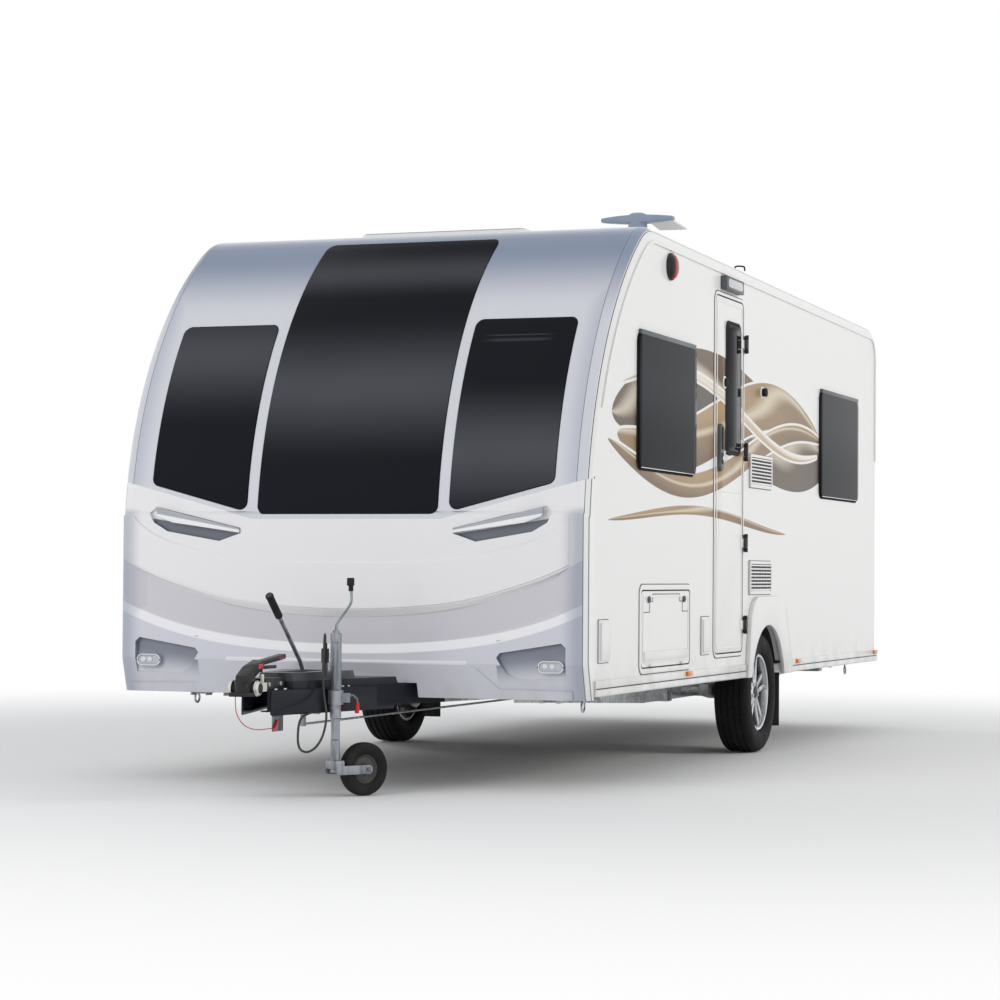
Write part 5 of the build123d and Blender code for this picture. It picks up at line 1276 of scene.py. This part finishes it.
class CARAVAN_OT_aerial(bpy.types.Operator):
    """Shape the roof aerial, a hub with two tapering arms on a pale foot, and the roof's hook"""

    bl_idname = "caravan.aerial"
    bl_label = "Shape the Aerial"

    X, Y = 0.820, FRONT_Y + 1.780
    ARMS = (0.380, 0.092, 0.040)    # length, width and height
    ARMS_Z = 2.745
    HUB = ((2.600, 0.0), (2.600, 0.030), (2.672, 0.031), (2.682, 0.040), (2.698, 0.048), (2.758, 0.048),
           (2.770, 0.043), (2.776, 0.032), (2.777, 0.0))
    FOOT = ((2.594, 0.0), (2.594, 0.100), (2.604, 0.098), (2.618, 0.075), (2.634, 0.046), (2.665, 0.034),
            (2.668, 0.0))
    # corners of the fairing's underside, from the hub's middle
    FAIRING = ((0.050, -0.030, 2.738), (0.172, -0.020, 2.738), (0.222, 0.125, 2.700), (0.080, 0.115, 2.700))
    # x and z
    HOOK = ((1.040, 2.594), (1.040, 2.614), (1.050, 2.620), (1.086, 2.618), (1.096, 2.612), (1.096, 2.592))

    def execute(self, context):
        self.arms()
        lathe("aerial_hub", self.HUB, (self.X, self.Y, 0.0), (0, 0, 1), aerial_grey, steps=56)
        lathe("aerial_foot", self.FOOT, (self.X, self.Y, 0.0), (0, 0, 1), white_moulding, steps=56)
        fairing = bmesh.new()
        for x, y, z in self.FAIRING:
            for lift in (0.0, 0.012):
                fairing.verts.new((self.X + x, self.Y + y, z + lift))
        bmesh.ops.convex_hull(fairing, input=fairing.verts)
        bmesh.ops.dissolve_limit(fairing, angle_limit=0.02, verts=fairing.verts, edges=fairing.edges)
        bevel(fairing, fairing.edges[:], 0.0045, 3)
        place_piece("aerial_fairing", fairing, white_moulding, smooth_angle=50.0)
        rod("roof_hook", [(x, FRONT_Y + 2.840, z) for x, z in self.HOOK], 0.0045, black_plastic)
        return {"FINISHED"}

    def arms(self):
        arms = bmesh.new()
        bmesh.ops.create_cube(arms, size=1.0)
        bmesh.ops.scale(arms, vec=self.ARMS, verts=arms.verts)
        lengthwise = [e for e in arms.edges if abs(e.verts[0].co.x - e.verts[1].co.x) > 0.1]
        bmesh.ops.subdivide_edges(arms, edges=lengthwise, cuts=9, use_grid_fill=True)
        for vert in arms.verts:
            far = abs(vert.co.x) / (self.ARMS[0] / 2)
            bmesh.ops.scale(arms, vec=(1.0, 1.0 - 0.55 * far ** 2.2, 1.0 - 0.50 * far ** 1.8), verts=[vert])
        bevel(arms, bent(arms, 0.9), 0.0075, 4)
        bmesh.ops.translate(arms, vec=(self.X, self.Y, self.ARMS_Z), verts=arms.verts)
        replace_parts(place_piece("aerial_arms", arms, aerial_grey, smooth_angle=50.0), "roof_aerial")


class CARAVAN_OT_roof(bpy.types.Operator):
    """Dome the rooflights"""

    bl_idname = "caravan.roof"
    bl_label = "Dress the Roof"

    # distance behind the front, half length and half width
    LIGHTS = ((1.500, 0.350, 0.450), (3.000, 0.200, 0.200), (4.900, 0.200, 0.200))
    FRAME_TALL = 0.042
    RIM = 0.025

    def execute(self, context):
        domes = bmesh.new()
        for back, half_long, half_wide in self.LIGHTS:
            y = FRONT_Y + back
            z = ROOF_Z - ROOF_FALL * (y - ROOF_START_Y) + self.FRAME_TALL
            wide, long = 2 * (half_wide - self.RIM), 2 * (half_long - self.RIM)
            plate(domes, Matrix.Translation((0, y, z - 0.001)), wide, long, 0.035, 0.0065, 0.004)
        place_piece("rooflight_domes", domes, smoked_dome)
        return {"FINISHED"}


class CARAVAN_OT_cords(bpy.types.Operator):
    """Hang the supply lead and the breakaway cable"""

    bl_idname = "caravan.cords"
    bl_label = "Hang the Cords"

    def execute(self, context):
        lead = cord("supply_lead_cord", LEAD_ROUTE, 0.010, cord_black)
        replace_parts(lead, "supply_lead")
        cable = cord("breakaway_cord", CABLE_ROUTE, 0.004, red_sleeve)
        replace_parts(cable, "breakaway_cable")
        return {"FINISHED"}


class CARAVAN_OT_stage(bpy.types.Operator):
    """Set up the floor, the soft light and the camera"""

    bl_idname = "caravan.stage"
    bl_label = "Set the Stage"

    CAMERA_PLACE = (4.769, -13.574, 0.953)
    CAMERA_TURN = (19.96, 1.60, 0.413)  # yaw to the left, pitch up and roll, in degrees
    FOCAL_PER_WIDTH = 2.6826
    SENSOR = 36.0
    LAMP_SIZE = 7.0
    # name, place, target, power and colour
    LAMPS = (
        ("key_light", (14.0, 1.0, 7.0), (0.0, 0.0, 1.2), 720.0, (1.0, 0.985, 0.955)),
        ("front_light", (-4.0, -13.0, 6.0), (0.0, -2.0, 1.2), 520.0, (1.0, 0.99, 0.98)),
        ("rear_light", (-14.0, 9.0, 6.0), (0.0, 1.0, 1.2), 620.0, (1.0, 1.0, 1.0)),
    )

    def execute(self, context):
        self.make_floor()
        self.make_world(context.scene)
        self.make_lights()
        self.make_camera(context.scene)
        context.scene.view_settings.view_transform = "Standard"
        return {"FINISHED"}

    def make_floor(self):
        """A pale floor that keeps the shadow, glows white far off and is clear from below."""
        bm = bmesh.new()
        bmesh.ops.create_circle(bm, cap_ends=True, segments=64, radius=60.0)
        mesh = bpy.data.meshes.new("studio_floor")
        bm.to_mesh(mesh)
        bm.free()
        floor = bpy.data.objects.new("studio_floor", mesh)
        bpy.context.collection.objects.link(floor)
        f = Finish("studio_floor", Base_Color=(0.86, 0.86, 0.86), Roughness=0.75)
        far = (f.x * f.x + f.y * f.y).root().above(6.2, 3.0)
        top = f.blend(far * f.looked_at(), f.shader("Principled BSDF"), f.node("ShaderNodeEmission"))
        below = f.node("ShaderNodeNewGeometry", output="Backfacing")
        both = f.blend(below, top, f.node("ShaderNodeBsdfTransparent"))
        f.feed(f.tree.nodes["Material Output"].inputs["Surface"], both)
        f.material.cycles.emission_sampling = "NONE"
        mesh.materials.append(f.material)

    def make_world(self, scene):
        """Soft light all round, and white where a backdrop is looked at."""
        scene.world = bpy.data.worlds.new("studio_world")
        scene.world.use_nodes = True
        sky = Nodes(scene.world.node_tree)
        soft = sky.tree.nodes["Background"]
        sky.feed(soft.inputs["Color"], (0.955, 0.975, 1.0))
        sky.feed(soft.inputs["Strength"], 0.57)
        white = sky.node("ShaderNodeBackground", Color=(1.0, 1.0, 1.0), Strength=1.0)
        both = sky.blend(sky.looked_at(), sky.shader("Background"), white)
        sky.feed(sky.tree.nodes["World Output"].inputs["Surface"], both)

    def make_lights(self):
        for name, place, target, power, colour in self.LAMPS:
            data = bpy.data.lights.new(name, "AREA")
            data.shape = "DISK"
            data.size = self.LAMP_SIZE
            data.energy = power
            data.color = colour
            lamp = bpy.data.objects.new(name, data)
            lamp.visible_glossy = False
            lamp.location = place
            lamp.rotation_euler = (Vector(target) - Vector(place)).to_track_quat("-Z", "Y").to_euler()
            bpy.context.collection.objects.link(lamp)

    def make_camera(self, scene):
        data = bpy.data.cameras.new("camera")
        data.sensor_width = self.SENSOR
        data.lens = self.SENSOR * self.FOCAL_PER_WIDTH
        data.clip_end = 300.0
        camera = bpy.data.objects.new("camera", data)
        bpy.context.collection.objects.link(camera)
        yaw, pitch, roll = (math.radians(turn) for turn in self.CAMERA_TURN)
        camera.matrix_world = (
            Matrix.Translation(self.CAMERA_PLACE)
            @ Matrix.Rotation(yaw, 4, "Z")
            @ Matrix.Rotation(math.pi / 2 + pitch, 4, "X")
            @ Matrix.Rotation(roll, 4, "Z")
        )
        scene.camera = camera


class CARAVAN_PT_panel(bpy.types.Panel):
    """Caravan finishing steps and their settings"""

    bl_label = "Caravan"
    bl_idname = "CARAVAN_PT_panel"
    bl_space_type = "VIEW_3D"
    bl_region_type = "UI"
    bl_category = "Caravan"

    def draw(self, context):
        for group in (context.scene.caravan_colours, context.scene.caravan_sizes):
            box = self.layout.box()
            for key in group.__annotations__:
                box.prop(group, key)
        for step in STEPS:
            self.layout.operator(step.bl_idname)


STEPS = (
    CARAVAN_OT_finishes,
    CARAVAN_OT_soften,
    CARAVAN_OT_wheels,
    CARAVAN_OT_side_trim,
    CARAVAN_OT_lamps,
    CARAVAN_OT_drawbar,
    CARAVAN_OT_aerial,
    CARAVAN_OT_roof,
    CARAVAN_OT_cords,
    CARAVAN_OT_stage,
)
CLASSES = (CaravanColours, CaravanSizes, *STEPS, CARAVAN_PT_panel)


def register():
    for item in CLASSES:
        bpy.utils.register_class(item)
    bpy.types.Scene.caravan_colours = bpy.props.PointerProperty(type=CaravanColours)
    bpy.types.Scene.caravan_sizes = bpy.props.PointerProperty(type=CaravanSizes)


def unregister():
    del bpy.types.Scene.caravan_sizes
    del bpy.types.Scene.caravan_colours
    for item in reversed(CLASSES):
        bpy.utils.unregister_class(item)


def main():
    register()
    for step in STEPS:
        group, name = step.bl_idname.split(".")
        getattr(getattr(bpy.ops, group), name)()


if __name__ == "__main__":
    main()
